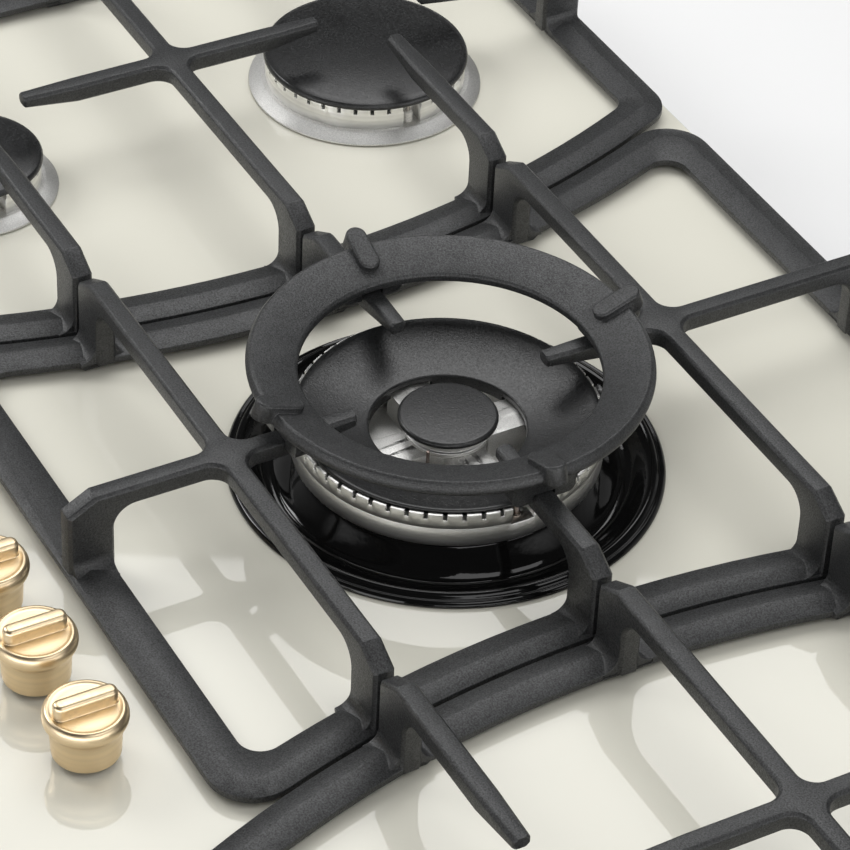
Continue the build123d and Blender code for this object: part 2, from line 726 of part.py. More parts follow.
def side_crown(x, y, cap_r):
    """Flame crown of a side burner, notched for the electrode and the thermocouple."""
    outer = cap_r - SIDE_CAP_OVER
    chamber_r = outer - SIDE_CROWN_WALL
    seat = CUP_Z
    section = [
        (VENTURI_R, seat),
        (outer, seat),
        (outer, SIDE_CROWN_Z),
        (chamber_r, SIDE_CROWN_Z),
        (chamber_r, seat + SIDE_CROWN_FLOOR),
        (VENTURI_R, seat + SIDE_CROWN_FLOOR),
    ]
    crown = turned(section, 0, 0, TOP)
    count = round(2 * math.pi * outer / SIDE_SLOT_PITCH / 2.0) * 2
    slot = block(
        SIDE_CROWN_WALL + 4, SIDE_SLOT_W, TOP + SIDE_CROWN_Z - SIDE_SLOT_H, TOP + SIDE_CROWN_Z + 1,
        outer - SIDE_CROWN_WALL / 2.0,
    )
    for turn in around(count, 180.0 / count):
        crown -= turn * slot
    port_in_r = cap_r - PORT_IN - CERAMIC_R - PORT_GAP
    port_l = cap_r - port_in_r
    for side in (-1, 1):
        mid = side * (port_in_r + port_l / 2.0)
        crown -= block(port_l, PORT_W, TOP + seat - 1, TOP + SIDE_CROWN_Z + 1, mid)
    return Pos(x, y, 0) * crown


def side_cap(x, y, cap_r):
    """Black cap of a side burner."""
    low = SIDE_CROWN_Z + REST_GAP
    high = low + SIDE_CAP_T
    guide_r = cap_r - SIDE_CAP_OVER - SIDE_CROWN_WALL - LOOSE_GAP
    section = [
        (0, high + SIDE_CAP_DOME),
        (cap_r - 4, high + SIDE_CAP_DOME / 2.0),
        (cap_r - 0.8, high - 0.8),
        (cap_r, high - 2.2),
        (cap_r, low),
        (guide_r, low),
        (guide_r, low - 2.5),
        (guide_r - 2.5, low - 2.5),
        (guide_r - 2.5, low),
        (0, low),
    ]
    return turned(section, x, y, TOP)


def spark_electrodes():
    """Ceramic spark electrodes, one at each burner."""
    places = [(PIN_X, BURNER_Y + PIN_Y, PIN_Z - 9, PIN_Z)]
    for x, y, cap_r in SIDE_BURNERS.values():
        places.append((x + cap_r - PORT_IN, y, SIDE_CROWN_Z - 6, SIDE_CROWN_Z - 1.2))
    rods = []
    for x, y, shoulder, tip in places:
        ceramic = rod(CERAMIC_R, ROD_FOOT_Z, TOP + shoulder, x, y)
        rods.append(ceramic + rod(SPARK_PIN_R, TOP + shoulder, TOP + tip, x, y))
    return Compound(rods)


def thermocouples():
    """Flame-failure thermocouples, one at each burner."""
    places = [(PROBE_R, BURNER_Y, PROBE_Z)]
    for x, y, cap_r in SIDE_BURNERS.values():
        places.append((x + PORT_IN - cap_r, y, SIDE_CROWN_Z - 1.5))
    rods = []
    for x, y, tip in places:
        stem = rod(PROBE_ROD_R, ROD_FOOT_Z, TOP + tip - 5, x, y)
        rods.append(stem + rod(PROBE_TIP_R, TOP + tip - 5, TOP + tip, x, y))
    return Compound(rods)


# ------------------------------------------------------------------ bridges and screws
def bridge(length, x, y):
    """Strip with turned-down ends; its length runs along X."""
    low = TRAY_FLOOR_Z + TRAY_T
    plate = block(length, BRIDGE_W, BRIDGE_Z - BRIDGE_T, BRIDGE_Z)
    for side in (-1, 1):
        plate += block(BRIDGE_T, BRIDGE_W, low, BRIDGE_Z, side * (length - BRIDGE_T) / 2.0)
        foot_x = side * (length - BRIDGE_FOOT) / 2.0
        plate += block(BRIDGE_FOOT, BRIDGE_W, low, low + BRIDGE_T, foot_x)
    return Pos(x, y, 0) * plate


def jet_hole(x, y, radius):
    """Opening in a bridge for a jet holder."""
    return rod(radius + LOOSE_GAP, BRIDGE_Z - BRIDGE_T - 1, BRIDGE_Z + 1, x, y)


def screw_places():
    """Places of the two screws under each burner."""
    places = []
    burners = [(0.0, BURNER_Y, boss_circle(WOK_BARREL_R, WOK_BARREL_T), 90 - SCREW_ANGLE)]
    for x, y, cap_r in SIDE_BURNERS.values():
        burners.append((x, y, boss_circle(cap_r + BARREL_OVER, CUP_WALL), SCREW_ANGLE))
    for x, y, radius, angle in burners:
        turn = math.radians(angle)
        for side in (-1, 1):
            places.append((x + side * radius * math.cos(turn), y + side * radius * math.sin(turn)))
    return places


def ear_screw_places():
    """Places of the two screws in the ears of each jet holder."""
    places = []
    for x, y in burner_centres():
        for side in (-1, 1):
            reach = side * EAR_SCREW_Y
            places.append((x + reach, y) if x == 0.0 else (x, y + reach))
    return places


def rod_clearances():
    """Holes that let the electrodes and thermocouples through the bridges."""
    holes = []
    for x, y, cap_r in SIDE_BURNERS.values():
        for side in (-1, 1):
            holes.append(rod(CERAMIC_R + 1, BRIDGE_Z - 5, BRIDGE_Z + 5, x + side * (cap_r - PORT_IN), y))
    holes.append(rod(CERAMIC_R + 1, BRIDGE_Z - 5, BRIDGE_Z + 5, PIN_X, BURNER_Y + PIN_Y))
    return holes


def drilled(plate):
    """Bridge with its screw holes."""
    for x, y in screw_places() + ear_screw_places():
        plate -= rod(SCREW_R, BRIDGE_Z - BRIDGE_T - 1, BRIDGE_Z + 1, x, y)
    for hole in rod_clearances():
        plate -= hole
    return plate


def side_bridge(side):
    """Bridge that runs front to back under two side burners."""
    length = BRIDGE_BACK_Y - BRIDGE_FRONT_Y
    plate = Rot(0, 0, 90) * bridge(length, 0, 0)
    plate = Pos(side * SIDE_X, (BRIDGE_BACK_Y + BRIDGE_FRONT_Y) / 2.0, 0) * plate
    for x, y, cap_r in SIDE_BURNERS.values():
        plate -= jet_hole(x, y, HOLDER_BOSS_R)
    return drilled(plate)


def centre_bridge():
    """Bridge that runs left to right under the wok burner."""
    plate = bridge(2 * BRIDGE_HALF_X, 0, BURNER_Y)
    plate -= jet_hole(0, BURNER_Y, HOLDER_BOSS_R)
    plate -= jet_hole(0, BURNER_Y + WOK_JET_OUT, JET_R + 1)
    return drilled(plate)


def burner_screws():
    """Screws that hold the burner bodies and the jet holders to the bridges."""
    plate_low = BRIDGE_Z - BRIDGE_T
    screws = [screw(x, y, plate_low) for x, y in screw_places()]
    return screws + [screw(x, y, plate_low - HOLDER_EAR_T) for x, y in ear_screw_places()]


# ------------------------------------------------------------------ gas train
def burner_centres():
    """Burner axes in the order of their taps, left to right."""
    sides = SIDE_BURNERS
    order = [sides["front_left"], sides["rear_left"], (0.0, BURNER_Y, 0.0)]
    order += [sides["rear_right"], sides["front_right"]]
    return [(x, y) for x, y, _ in order]


def jet_holders():
    """Brass blocks under the bridges that feed the injectors."""
    holders = []
    for x, y in burner_centres():
        seat = BRIDGE_Z - BRIDGE_T
        holder = block(HOLDER_W, HOLDER_W, HOLDER_FOOT_Z, seat)
        holder += block(HOLDER_EAR_W, HOLDER_EAR_L, seat - HOLDER_EAR_T, seat)
        holder += rod(HOLDER_BOSS_R, seat, HOLDER_Z)
        for side in (-1, 1):
            holder -= rod(SCREW_R, HOLDER_FOOT_Z, seat + 1, 0, side * EAR_SCREW_Y)
        turn = 0
        if x == 0.0:
            turn = 90
            arm = WOK_JET_OUT + HOLDER_W / 4.0
            holder += block(arm, HOLDER_EAR_W, HOLDER_FOOT_Z, seat, arm / 2.0)
            holder += rod(JET_R + 1, seat, HOLDER_Z, WOK_JET_OUT)
        holders.append(Pos(x, y, 0) * Rot(0, 0, turn) * holder)
    return Compound(holders)


def injectors():
    """Brass injectors; the wok burner has two."""
    jet = rod(JET_R, HOLDER_Z, HOLDER_Z + JET_H - 3) + rod(JET_R - 1, HOLDER_Z, HOLDER_Z + JET_H)
    jet -= rod(JET_BORE_R, HOLDER_Z - 1, HOLDER_Z + JET_H + 1)
    places = burner_centres() + [(0, BURNER_Y + WOK_JET_OUT)]
    return Compound([Pos(x, y, 0) * jet for x, y in places])


def pipe_routes():
    """Centre lines of the five gas pipes, from tap to jet holder."""
    start_y = KNOB_Y + TAP_D / 2.0
    reach = HOLDER_W / 2.0
    xs = knob_xs()
    routes = []
    for tap_x, (x, y) in zip(xs, burner_centres()):
        start = (tap_x, start_y)
        if x == 0.0:
            routes.append([start, (x, y - reach)])
            continue
        side = math.copysign(1, x)
        end = (x - side * reach, y)
        if y < BURNER_Y:
            routes.append([start, (tap_x, y), end])
        else:
            lane = side * OUTER_LANE_X
            routes.append([start, (tap_x, NEAR_LANE_Y), (lane, NEAR_LANE_Y), (lane, y), end])
    return routes


def tube(points, radius, bore, bend):
    """Round tube along straight runs joined by bends."""
    if len(points) > 2:
        path = FilletPolyline(*points, radius=bend)
    else:
        path = Polyline(*points)
    start = Vector(*points[0])
    section = Plane(origin=start, z_dir=Vector(*points[1]) - start) * (Circle(radius) - Circle(bore))
    return sweep(section, path=path)


def gas_pipes():
    """Aluminium pipes from the taps to the burners."""
    pipes = []
    for route in pipe_routes():
        points = [(x, y, PIPE_Z) for x, y in route]
        pipes.append(tube(points, PIPE_R, PIPE_BORE_R, PIPE_BEND_R))
    return Compound(pipes)


def pipe_nuts():
    """Hexagonal nuts at both ends of each gas pipe."""
    nut = extrude(RegularPolygon(NUT_R, 6) - Circle(PIPE_R), NUT_L)
    nuts = []
    for route in pipe_routes():
        for end, neighbour in ((route[0], route[1]), (route[-1], route[-2])):
            origin = Vector(end[0], end[1], PIPE_Z)
            away = Vector(neighbour[0], neighbour[1], PIPE_Z) - origin
            nuts.append(Plane(origin=origin, z_dir=away) * nut)
    return Compound(nuts)


def manifold():
    """Square gas rail along the front of the taps."""
    y = KNOB_Y - TAP_D / 2.0 - RAIL_PROFILE / 2.0
    length = RAIL_RIGHT_X - RAIL_LEFT_X
    mid = (RAIL_RIGHT_X + RAIL_LEFT_X) / 2.0
    rail = Pos(mid, y, RAIL_Z) * Box(length, RAIL_PROFILE, RAIL_PROFILE)
    rail -= Pos(mid + 2, y, RAIL_Z) * Rot(0, 90, 0) * Cylinder(RAIL_BORE / 2.0, length)
    for x in knob_xs():
        outlet_y = y + RAIL_PROFILE / 4.0
        rail -= Pos(x, outlet_y, PIPE_Z) * Rot(90, 0, 0) * Cylinder(PASSAGE_R, RAIL_PROFILE / 2.0)
    return rail


def feed_pipe():
    """Steel pipe from the inlet fitting to the manifold."""
    y = KNOB_Y - TAP_D / 2.0 - RAIL_PROFILE / 2.0
    high = RAIL_Z + FEED_RISE
    points = [
        (RAIL_RIGHT_X, y, RAIL_Z),
        (FEED_X, y, RAIL_Z),
        (FEED_X, FEED_RISE_Y, RAIL_Z),
        (FEED_X, FEED_RISE_Y + 1.6 * FEED_RISE, high),
        (FEED_X, INLET_Y - INLET_BLOCK / 2.0, high),
    ]
    return tube(points, FEED_R, FEED_BORE_R, FEED_BEND_R)


def inlet_fitting():
    """Elbow block with a G 1/2 thread that points down through the pocket."""
    high = RAIL_Z + FEED_RISE
    roof = TRAY_FLOOR_Z + POCKET_H + TRAY_T
    body = block(INLET_BLOCK, INLET_BLOCK, roof, high + INLET_BLOCK_H / 2.0)
    thread_top = roof - TRAY_T - INLET_NUT_T - INLET_RELIEF
    body += rod(INLET_PITCH_R, thread_top, roof)
    body += rod(INLET_R, thread_top - INLET_L, thread_top)
    body -= rod(INLET_BORE_R, thread_top - INLET_L - 1, high)
    body -= Pos(0, -INLET_BLOCK / 4.0, high) * Rot(90, 0, 0) * Cylinder(FEED_BORE_R, INLET_BLOCK / 2.0 + 1)
    return Pos(INLET_X, INLET_Y, 0) * body


def inlet_nut():
    """Back nut that holds the inlet fitting to the tray."""
    roof = TRAY_FLOOR_Z + POCKET_H
    hexagon = RegularPolygon(INLET_NUT_R, 6) - Circle(INLET_PITCH_R)
    nut = Pos(0, 0, roof - INLET_NUT_T) * extrude(hexagon, INLET_NUT_T)
    return Pos(INLET_X, INLET_Y, 0) * nut


# ------------------------------------------------------------------ taps and knobs
def tap_bodies():
    """Brass tap bodies with bonnets, bored for the plug and the spindle."""
    taps = []
    for x in knob_xs():
        tap = block(TAP_W, TAP_D, TAP_FOOT_Z, TAP_Z) + rod(BONNET_R, TAP_Z, BONNET_Z)
        tap -= rod(PLUG_R + RUN_GAP, PLUG_FOOT_Z - REST_GAP, PLUG_Z + REST_GAP)
        tap -= rod(SPINDLE_R + RUN_GAP, PLUG_Z, BONNET_Z + 1)
        tap -= Pos(0, 0, PIPE_Z) * Rot(90, 0, 0) * Cylinder(PASSAGE_R, TAP_D)
        taps.append(Pos(x, KNOB_Y, 0) * tap)
    return Compound(taps)


def tap_rail():
    """Flat bar on the tray floor that carries the taps."""
    return block(TAP_RAIL_W, TAP_RAIL_D, TRAY_FLOOR_Z + TRAY_T, TAP_FOOT_Z, 0, KNOB_Y)


def tap_plug(x):
    """Turning plug of a tap, slotted for the spindle's tang."""
    plug = rod(PLUG_R, PLUG_FOOT_Z, PLUG_Z)
    plug -= rod(SPINDLE_R + RUN_GAP, SPINDLE_SHOULDER_Z - PUSH_TRAVEL - REST_GAP, PLUG_Z + 1)
    slot_foot = SPINDLE_FOOT_Z - PUSH_TRAVEL - REST_GAP
    plug -= block(2 * SPINDLE_R, TANG_W + 2 * RUN_GAP, slot_foot, PLUG_Z)
    plug -= Pos(0, 0, PIPE_Z) * Rot(90, 0, 0) * Cylinder(PASSAGE_R, 2 * PLUG_R + 2)
    return Pos(x, KNOB_Y, 0) * plug


def spindle(x):
    """Spindle that slides in the tap and turns its plug."""
    top = TOP + KNOB_SOCKET_Z
    shaft = rod(SPINDLE_R, SPINDLE_SHOULDER_Z, top)
    tang = block(2 * SPINDLE_R, TANG_W, SPINDLE_FOOT_Z, SPINDLE_SHOULDER_Z)
    shaft += tang & rod(SPINDLE_R - 0.2, SPINDLE_FOOT_Z, SPINDLE_SHOULDER_Z)
    return Pos(x, KNOB_Y, 0) * shaft


def spindle_seals():
    """Silicone rings on the glass round the spindles."""
    ring = rod(SPINDLE_SEAL_R, TOP, TOP + SPINDLE_SEAL_T)
    ring -= rod(SPINDLE_R + REST_GAP, TOP - 1, TOP + SPINDLE_SEAL_T + 1)
    return Compound([Pos(x, KNOB_Y, 0) * ring for x in knob_xs()])


def knob(x):
    """Bronze knob: hollow neck, rolled rim, shallow face and a raised grip."""
    hub_low = SPINDLE_SEAL_T + PUSH_TRAVEL + REST_GAP
    rim_low = KNOB_RIM_Z - KNOB_RIM_H / 2.0
    rim_high = KNOB_RIM_Z + KNOB_RIM_H / 2.0
    roof = rim_low - 2
    profile = [
        Line((SPINDLE_R, 0, hub_low), (KNOB_HUB_R, 0, hub_low)),
        Line((KNOB_HUB_R, 0, hub_low), (KNOB_HUB_R, 0, roof)),
        Line((KNOB_HUB_R, 0, roof), (KNOB_HOLLOW_R, 0, roof)),
        Line((KNOB_HOLLOW_R, 0, roof), (KNOB_HOLLOW_R, 0, KNOB_FOOT_Z)),
        Line((KNOB_HOLLOW_R, 0, KNOB_FOOT_Z), (KNOB_NECK_R, 0, KNOB_FOOT_Z)),
        ThreePointArc(
            (KNOB_NECK_R, 0, KNOB_FOOT_Z),
            (KNOB_NECK_R + 0.4, 0, (KNOB_FOOT_Z + rim_low) / 2.0),
            (KNOB_RIM_R - 0.8, 0, rim_low),
        ),
        ThreePointArc(
            (KNOB_RIM_R - 0.8, 0, rim_low), (KNOB_RIM_R, 0, KNOB_RIM_Z), (KNOB_RIM_R - 0.8, 0, rim_high)
        ),
        ThreePointArc(
            (KNOB_RIM_R - 0.8, 0, rim_high),
            (KNOB_RIM_R - 2.0, 0, rim_high + 0.8),
            (KNOB_NECK_R, 0, KNOB_FACE_Z),
        ),
        Line((KNOB_NECK_R, 0, KNOB_FACE_Z), (0, 0, KNOB_FACE_Z)),
        Line((0, 0, KNOB_FACE_Z), (0, 0, KNOB_SOCKET_Z)),
        Line((0, 0, KNOB_SOCKET_Z), (SPINDLE_R, 0, KNOB_SOCKET_Z)),
        Line((SPINDLE_R, 0, KNOB_SOCKET_Z), (SPINDLE_R, 0, hub_low)),
    ]
    body = Pos(0, 0, TOP) * revolve(make_face(profile), Axis.Z)
    grip = extrude(Rot(0, 0, 90) * SlotOverall(GRIP_L, GRIP_W), GRIP_H + 1)
    grip = fillet(grip.edges().group_by(Axis.Z)[-1], GRIP_W / 3.0)
    body += Pos(0, 0, TOP + KNOB_FACE_Z - 1) * grip
    return Pos(x, KNOB_Y, 0) * body


def tap_switches():
    """Ignition switches beside the bonnets."""
    y = KNOB_Y + BONNET_R + SWITCH_D / 2.0
    return Compound([block(SWITCH_W, SWITCH_D, TAP_Z, TAP_Z + SWITCH_H, x, y) for x in knob_xs()])


# ------------------------------------------------------------------ ignition and mains
def ignition_module():
    """Spark generator on the tray floor, with a spade terminal for each electrode."""
    low = TRAY_FLOOR_Z + TRAY_T
    case = block(MODULE_W, MODULE_D, low, low + MODULE_H, MODULE_X, MODULE_Y)
    case = fillet(case.edges().filter_by(Axis.Z), 3)
    burners = len(SIDE_BURNERS) + 1
    for index in range(burners):
        x = MODULE_X + (index - (burners - 1) / 2.0) * MODULE_W / (burners + 1)
        case += block(0.8, 6, low + MODULE_H, low + MODULE_H + 7, x, MODULE_Y)
    return case


def terminal_block():
    """Mains terminal block on the tray floor."""
    low = TRAY_FLOOR_Z + TRAY_T
    case = block(TERMINAL_W, TERMINAL_D, low, low + TERMINAL_H, TERMINAL_X, TERMINAL_Y)
    for offset in (-1, 0, 1):
        x = TERMINAL_X + offset * TERMINAL_W / 3.0
        case -= rod(3, low + TERMINAL_H - 6, low + TERMINAL_H + 1, x, TERMINAL_Y)
    return case


def cable_gland():
    """Gland in the tray floor for the mains cable."""
    floor = TRAY_FLOOR_Z + TRAY_T
    gland = rod(GLAND_R, TRAY_FLOOR_Z, floor + GLAND_H, GLAND_X, GLAND_Y)
    gland += rod(GLAND_FLANGE_R, floor, floor + GLAND_FLANGE_T, GLAND_X, GLAND_Y)
    return gland - rod(GLAND_BORE_R, TRAY_FLOOR_Z - 5, floor + GLAND_H + 1, GLAND_X, GLAND_Y)


# ------------------------------------------------------------------ pan supports
def waist_x(y, shift=0.0):
    """X of the curved split line at y, moved outwards by a shift."""
    return WAIST_X + WAIST_R - math.sqrt((WAIST_R - shift) ** 2 - (y - BURNER_Y) ** 2)


def rounded(edges, radius):
    """Face inside the edges, with its corners rounded."""
    face = Sketch() + make_face(edges)
    return fillet(face.vertices(), radius)


def centre_outline(inset, corner):
    """Waisted outline of the centre support, inset all round."""
    front = BURNER_Y - CENTRE_FRONT + inset
    back = BURNER_Y + CENTRE_BACK - inset
    front_x = waist_x(front, -inset)
    back_x = waist_x(back, -inset)
    mid_x = waist_x(BURNER_Y, -inset)
    edges = [
        Line((-front_x, front), (front_x, front)),
        ThreePointArc((front_x, front), (mid_x, BURNER_Y), (back_x, back)),
        Line((back_x, back), (-back_x, back)),
        ThreePointArc((-back_x, back), (-mid_x, BURNER_Y), (-front_x, front)),
    ]
    return rounded(edges, corner)


def side_outline(inset, corner):
    """Outline of the right support, with its bulged inner edge, inset all round."""
    front = SIDE_FRONT_Y + inset
    back = SIDE_BACK_Y - inset
    outer = SIDE_OUTER_X - inset
    shift = SPLIT_GAP + inset
    front_x = waist_x(front, shift)
    back_x = waist_x(back, shift)
    edges = [
        Line((front_x, front), (outer, front)),
        Line((outer, front), (outer, back)),
        Line((outer, back), (back_x, back)),
        ThreePointArc((back_x, back), (waist_x(BURNER_Y, shift), BURNER_Y), (front_x, front)),
    ]
    return rounded(edges, corner)


def rail_frame(outline):
    """Low frame of a support, with a shallow ridge along its rails."""
    low = TOP + RAIL_LIFT
    edge = TOP + RAIL_EDGE
    ridge = TOP + RAIL_RIDGE
    near = RIDGE_IN - RIDGE_W / 2.0
    far = RIDGE_IN + RIDGE_W / 2.0
    outer = outline(0, FRAME_CORNER_R)
    window = outline(RAIL_W, WINDOW_CORNER_R)
    frame = Pos(0, 0, low) * extrude(outer, edge - low)
    outer_top = Pos(0, 0, ridge) * outline(near, FRAME_CORNER_R - near)
    frame += loft([Pos(0, 0, edge) * outer, outer_top], ruled=True)
    frame -= Pos(0, 0, low) * extrude(window, edge - low)
    window_top = Pos(0, 0, ridge) * outline(far, FRAME_CORNER_R - far)
    frame -= loft([Pos(0, 0, edge) * window, window_top], ruled=True)
    return frame


def leg_solid():
    """Upright leg of a support, with the outer face at X 0 and the bar running to -X."""
    low = TOP + RAIL_LIFT + 0.5
    top = TOP + BAR_TOP
    under = top - BAR_H
    root = -LEG_W - LEG_ARCH_R - LEG_LAP
    arch = math.sqrt(0.5) * LEG_ARCH_R
    profile = [
        Line((0, 0, low), (0, 0, top - LEG_DROP)),
        Line((0, 0, top - LEG_DROP), (-LEG_SLOPE, 0, top)),
        Line((-LEG_SLOPE, 0, top), (root, 0, top)),
        Line((root, 0, top), (root, 0, under)),
        Line((root, 0, under), (-LEG_W - LEG_ARCH_R, 0, under)),
        ThreePointArc(
            (-LEG_W - LEG_ARCH_R, 0, under),
            (-LEG_W - LEG_ARCH_R + arch, 0, under - LEG_ARCH_R + arch),
            (-LEG_W, 0, under - LEG_ARCH_R),
        ),
        Line((-LEG_W, 0, under - LEG_ARCH_R), (-LEG_W, 0, low)),
        Line((-LEG_W, 0, low), (0, 0, low)),
    ]
    plate = extrude(make_face(profile), BAR_W / 2.0, both=True)
    side_edges = [edge for edge in plate.edges() if abs(abs(edge.center().Y) - BAR_W / 2.0) < 0.01]
    plate = chamfer(side_edges, BAR_CUT)
    return plate + leg_base()


def leg_base():
    """Flare over the rail and foot under it, where a leg meets the frame."""
    half = BAR_W / 2.0
    rail_z = TOP + RAIL_EDGE
    foot_z = TOP + REST_GAP + PAD_SHOWN
    bend = FLARE * (1 - math.sqrt(0.5))
    flare = [
        Line((-BAR_CUT, -half - FLARE, rail_z - 2), (-BAR_CUT, -half - FLARE, rail_z)),
        ThreePointArc(
            (-BAR_CUT, -half - FLARE, rail_z),
            (-BAR_CUT, -half - bend, rail_z + bend),
            (-BAR_CUT, -half, rail_z + FLARE),
        ),
        Line((-BAR_CUT, -half, rail_z + FLARE), (-BAR_CUT, half, rail_z + FLARE)),
        ThreePointArc(
            (-BAR_CUT, half, rail_z + FLARE),
            (-BAR_CUT, half + bend, rail_z + bend),
            (-BAR_CUT, half + FLARE, rail_z),
        ),
        Line((-BAR_CUT, half + FLARE, rail_z), (-BAR_CUT, half + FLARE, rail_z - 2)),
        Line((-BAR_CUT, half + FLARE, rail_z - 2), (-BAR_CUT, -half - FLARE, rail_z - 2)),
    ]
    base = extrude(make_face(flare), LEG_W - 2 * BAR_CUT, dir=(-1, 0, 0))
    foot = make_face(
        Polyline(
            (-FOOT_INSET, -FOOT_BASE_W / 2.0, foot_z),
            (-FOOT_INSET, FOOT_BASE_W / 2.0, foot_z),
            (-FOOT_INSET, FOOT_TOP_W / 2.0, TOP + RAIL_LIFT + 0.5),
            (-FOOT_INSET, -FOOT_TOP_W / 2.0, TOP + RAIL_LIFT + 0.5),
            close=True,
        )
    )
    base += extrude(foot, RAIL_W - 2 * FOOT_INSET, dir=(-1, 0, 0))
    return base


def centre_legs():
    """Outer foot point and heading of each leg of the centre support."""
    legs = []
    for y in (BURNER_Y - BAR_Y, BURNER_Y, BURNER_Y + BAR_Y):
        x = waist_x(y) - LEG_SET_IN
        legs += [(x, y, 0), (-x, y, 180)]
    legs.append((0, BURNER_Y - CENTRE_FRONT + LEG_SET_IN, -90))
    legs.append((0, BURNER_Y + CENTRE_BACK - LEG_SET_IN, 90))
    return legs


def side_legs():
    """Outer foot point and heading of each leg of the right support."""
    legs = []
    for y in (BURNER_Y - BAR_Y, BURNER_Y, BURNER_Y + BAR_Y):
        legs.append((waist_x(y, SPLIT_GAP) + LEG_SET_IN, y, 180))
        legs.append((SIDE_OUTER_X - LEG_SET_IN, y, 0))
    legs.append((SIDE_X, SIDE_FRONT_Y + LEG_SET_IN, -90))
    legs.append((SIDE_X, SIDE_BACK_Y - LEG_SET_IN, 90))
    return legs


def run(start, end):
    """Plan rectangle of a bar between two points along X or Y."""
    length = math.dist(start, end)
    angle = math.degrees(math.atan2(end[1] - start[1], end[0] - start[0]))
    mid = Pos((start[0] + end[0]) / 2.0, (start[1] + end[1]) / 2.0)
    return mid * Rot(0, 0, angle) * Rectangle(length, BAR_W)


def octagon(x, width, height, cut):
    """Bevelled section of a finger across X, hung from the top of the bars."""
    half = width / 2.0
    top = TOP + BAR_TOP
    low = top - height
    return make_face(
        Polyline(
            (x, -half + cut, top),
            (x, half - cut, top),
            (x, half, top - cut),
            (x, half, low + cut),
            (x, half - cut, low),
            (x, -half + cut, low),
            (x, -half, low + cut),
            (x, -half, top - cut),
            close=True,
        )
    )


def fingertip(x, y, angle, tip_r):
    """Tapered end of a finger that points at the burner axis x, y from the given side."""
    root = octagon(tip_r + TIP_TAPER, BAR_W, BAR_H, BAR_CUT)
    neck = octagon(tip_r + TIP_ROUND, TIP_W, TIP_H, BAR_CUT)
    tip = octagon(tip_r, TIP_W - 2 * TIP_ROUND, TIP_H - TIP_ROUND, BAR_CUT)
    return Pos(x, y, 0) * Rot(0, 0, angle) * loft([root, neck, tip], ruled=True)


def bars(runs, crossings):
    """Bars from their plan, with filleted crossings and bevelled edges."""
    plan = Sketch()
    for start, end in runs:
        plan += run(start, end)
    half = BAR_W / 2.0
    corners = []
    for vertex in plan.vertices():
        for x, y in crossings:
            if abs(abs(vertex.X - x) - half) < 0.01 and abs(abs(vertex.Y - y) - half) < 0.01:
                corners.append(vertex)
    plan = fillet(corners, BAR_FILLET_R)
    top = TOP + BAR_TOP
    solid = Pos(0, 0, top - BAR_H) * extrude(plan, BAR_H)
    rims = solid.edges().group_by(Axis.Z)[0] + solid.edges().group_by(Axis.Z)[-1]
    return chamfer([edge for edge in rims if edge.length > BAR_W + 1], BAR_CUT)


def bar_end(reach):
    """Distance from the burner axis to where a bar hides in its leg."""
    return reach - LEG_SLOPE - LEG_LAP


def centre_runs():
    """Bars and fingers of the centre support."""
    front = BURNER_Y - bar_end(CENTRE_FRONT)
    back = BURNER_Y + bar_end(CENTRE_BACK)
    runs = []
    for y in (BURNER_Y - BAR_Y, BURNER_Y + BAR_Y):
        end = bar_end(waist_x(y))
        runs.append(((-end, y), (end, y)))
    end = bar_end(waist_x(BURNER_Y))
    for side in (-1, 1):
        runs.append(((side * (WOK_TIP_R + TIP_TAPER), BURNER_Y), (side * end, BURNER_Y)))
    runs.append(((0, front), (0, BURNER_Y - WOK_TIP_R - TIP_TAPER)))
    runs.append(((0, BURNER_Y + WOK_TIP_R + TIP_TAPER), (0, back)))
    return runs


def centre_tips():
    """Fingertips of the centre support."""
    return [fingertip(0, BURNER_Y, angle, WOK_TIP_R) for angle in (0, 90, 180, 270)]


def side_tips():
    """Fingertips of the right support."""
    tips = []
    for y in (BURNER_Y - BAR_Y, BURNER_Y + BAR_Y):
        for angle in (0, 90, 180, 270):
            tips.append(fingertip(SIDE_X, y, angle, SIDE_TIP_R))
    return tips


def side_runs():
    """Bars and fingers of the right support."""
    near_ends = {y: waist_x(y, SPLIT_GAP) + LEG_SLOPE + LEG_LAP for y in side_rows()}
    far = SIDE_OUTER_X - LEG_SLOPE - LEG_LAP
    low, mid, high = side_rows()
    runs = [((near_ends[mid], mid), (far, mid))]
    reach = SIDE_TIP_R + TIP_TAPER
    for y in (low, high):
        runs.append(((near_ends[y], y), (SIDE_X - reach, y)))
        runs.append(((SIDE_X + reach, y), (far, y)))
    runs.append(((SIDE_X, SIDE_FRONT_Y + LEG_SLOPE + LEG_LAP), (SIDE_X, low - reach)))
    runs.append(((SIDE_X, low + reach), (SIDE_X, high - reach)))
    runs.append(((SIDE_X, high + reach), (SIDE_X, SIDE_BACK_Y - LEG_SLOPE - LEG_LAP)))
    return runs


def side_rows():
    """Y of the three rows of bars."""
    return (BURNER_Y - BAR_Y, BURNER_Y, BURNER_Y + BAR_Y)


def pad_place(x, y, angle):
    """Centre of the rubber pad under a leg."""
    inwards = RAIL_W / 2.0
    turn = math.radians(angle)
    return (x - inwards * math.cos(turn), y - inwards * math.sin(turn))


def support(outline, legs, runs, crossings, tips):
    """Cast-iron support: frame, legs, bars and fingertips in one casting."""
    casting = rail_frame(outline)
    pattern = leg_solid()
    for x, y, angle in legs:
        casting += Pos(x, y, 0) * Rot(0, 0, angle) * pattern
    casting += bars(runs, crossings)
    casting += tips
    foot_z = TOP + REST_GAP + PAD_SHOWN
    for place in legs:
        x, y = pad_place(*place)
        casting -= rod(PAD_R, foot_z - 1, foot_z + PAD_SUNK, x, y)
    return casting


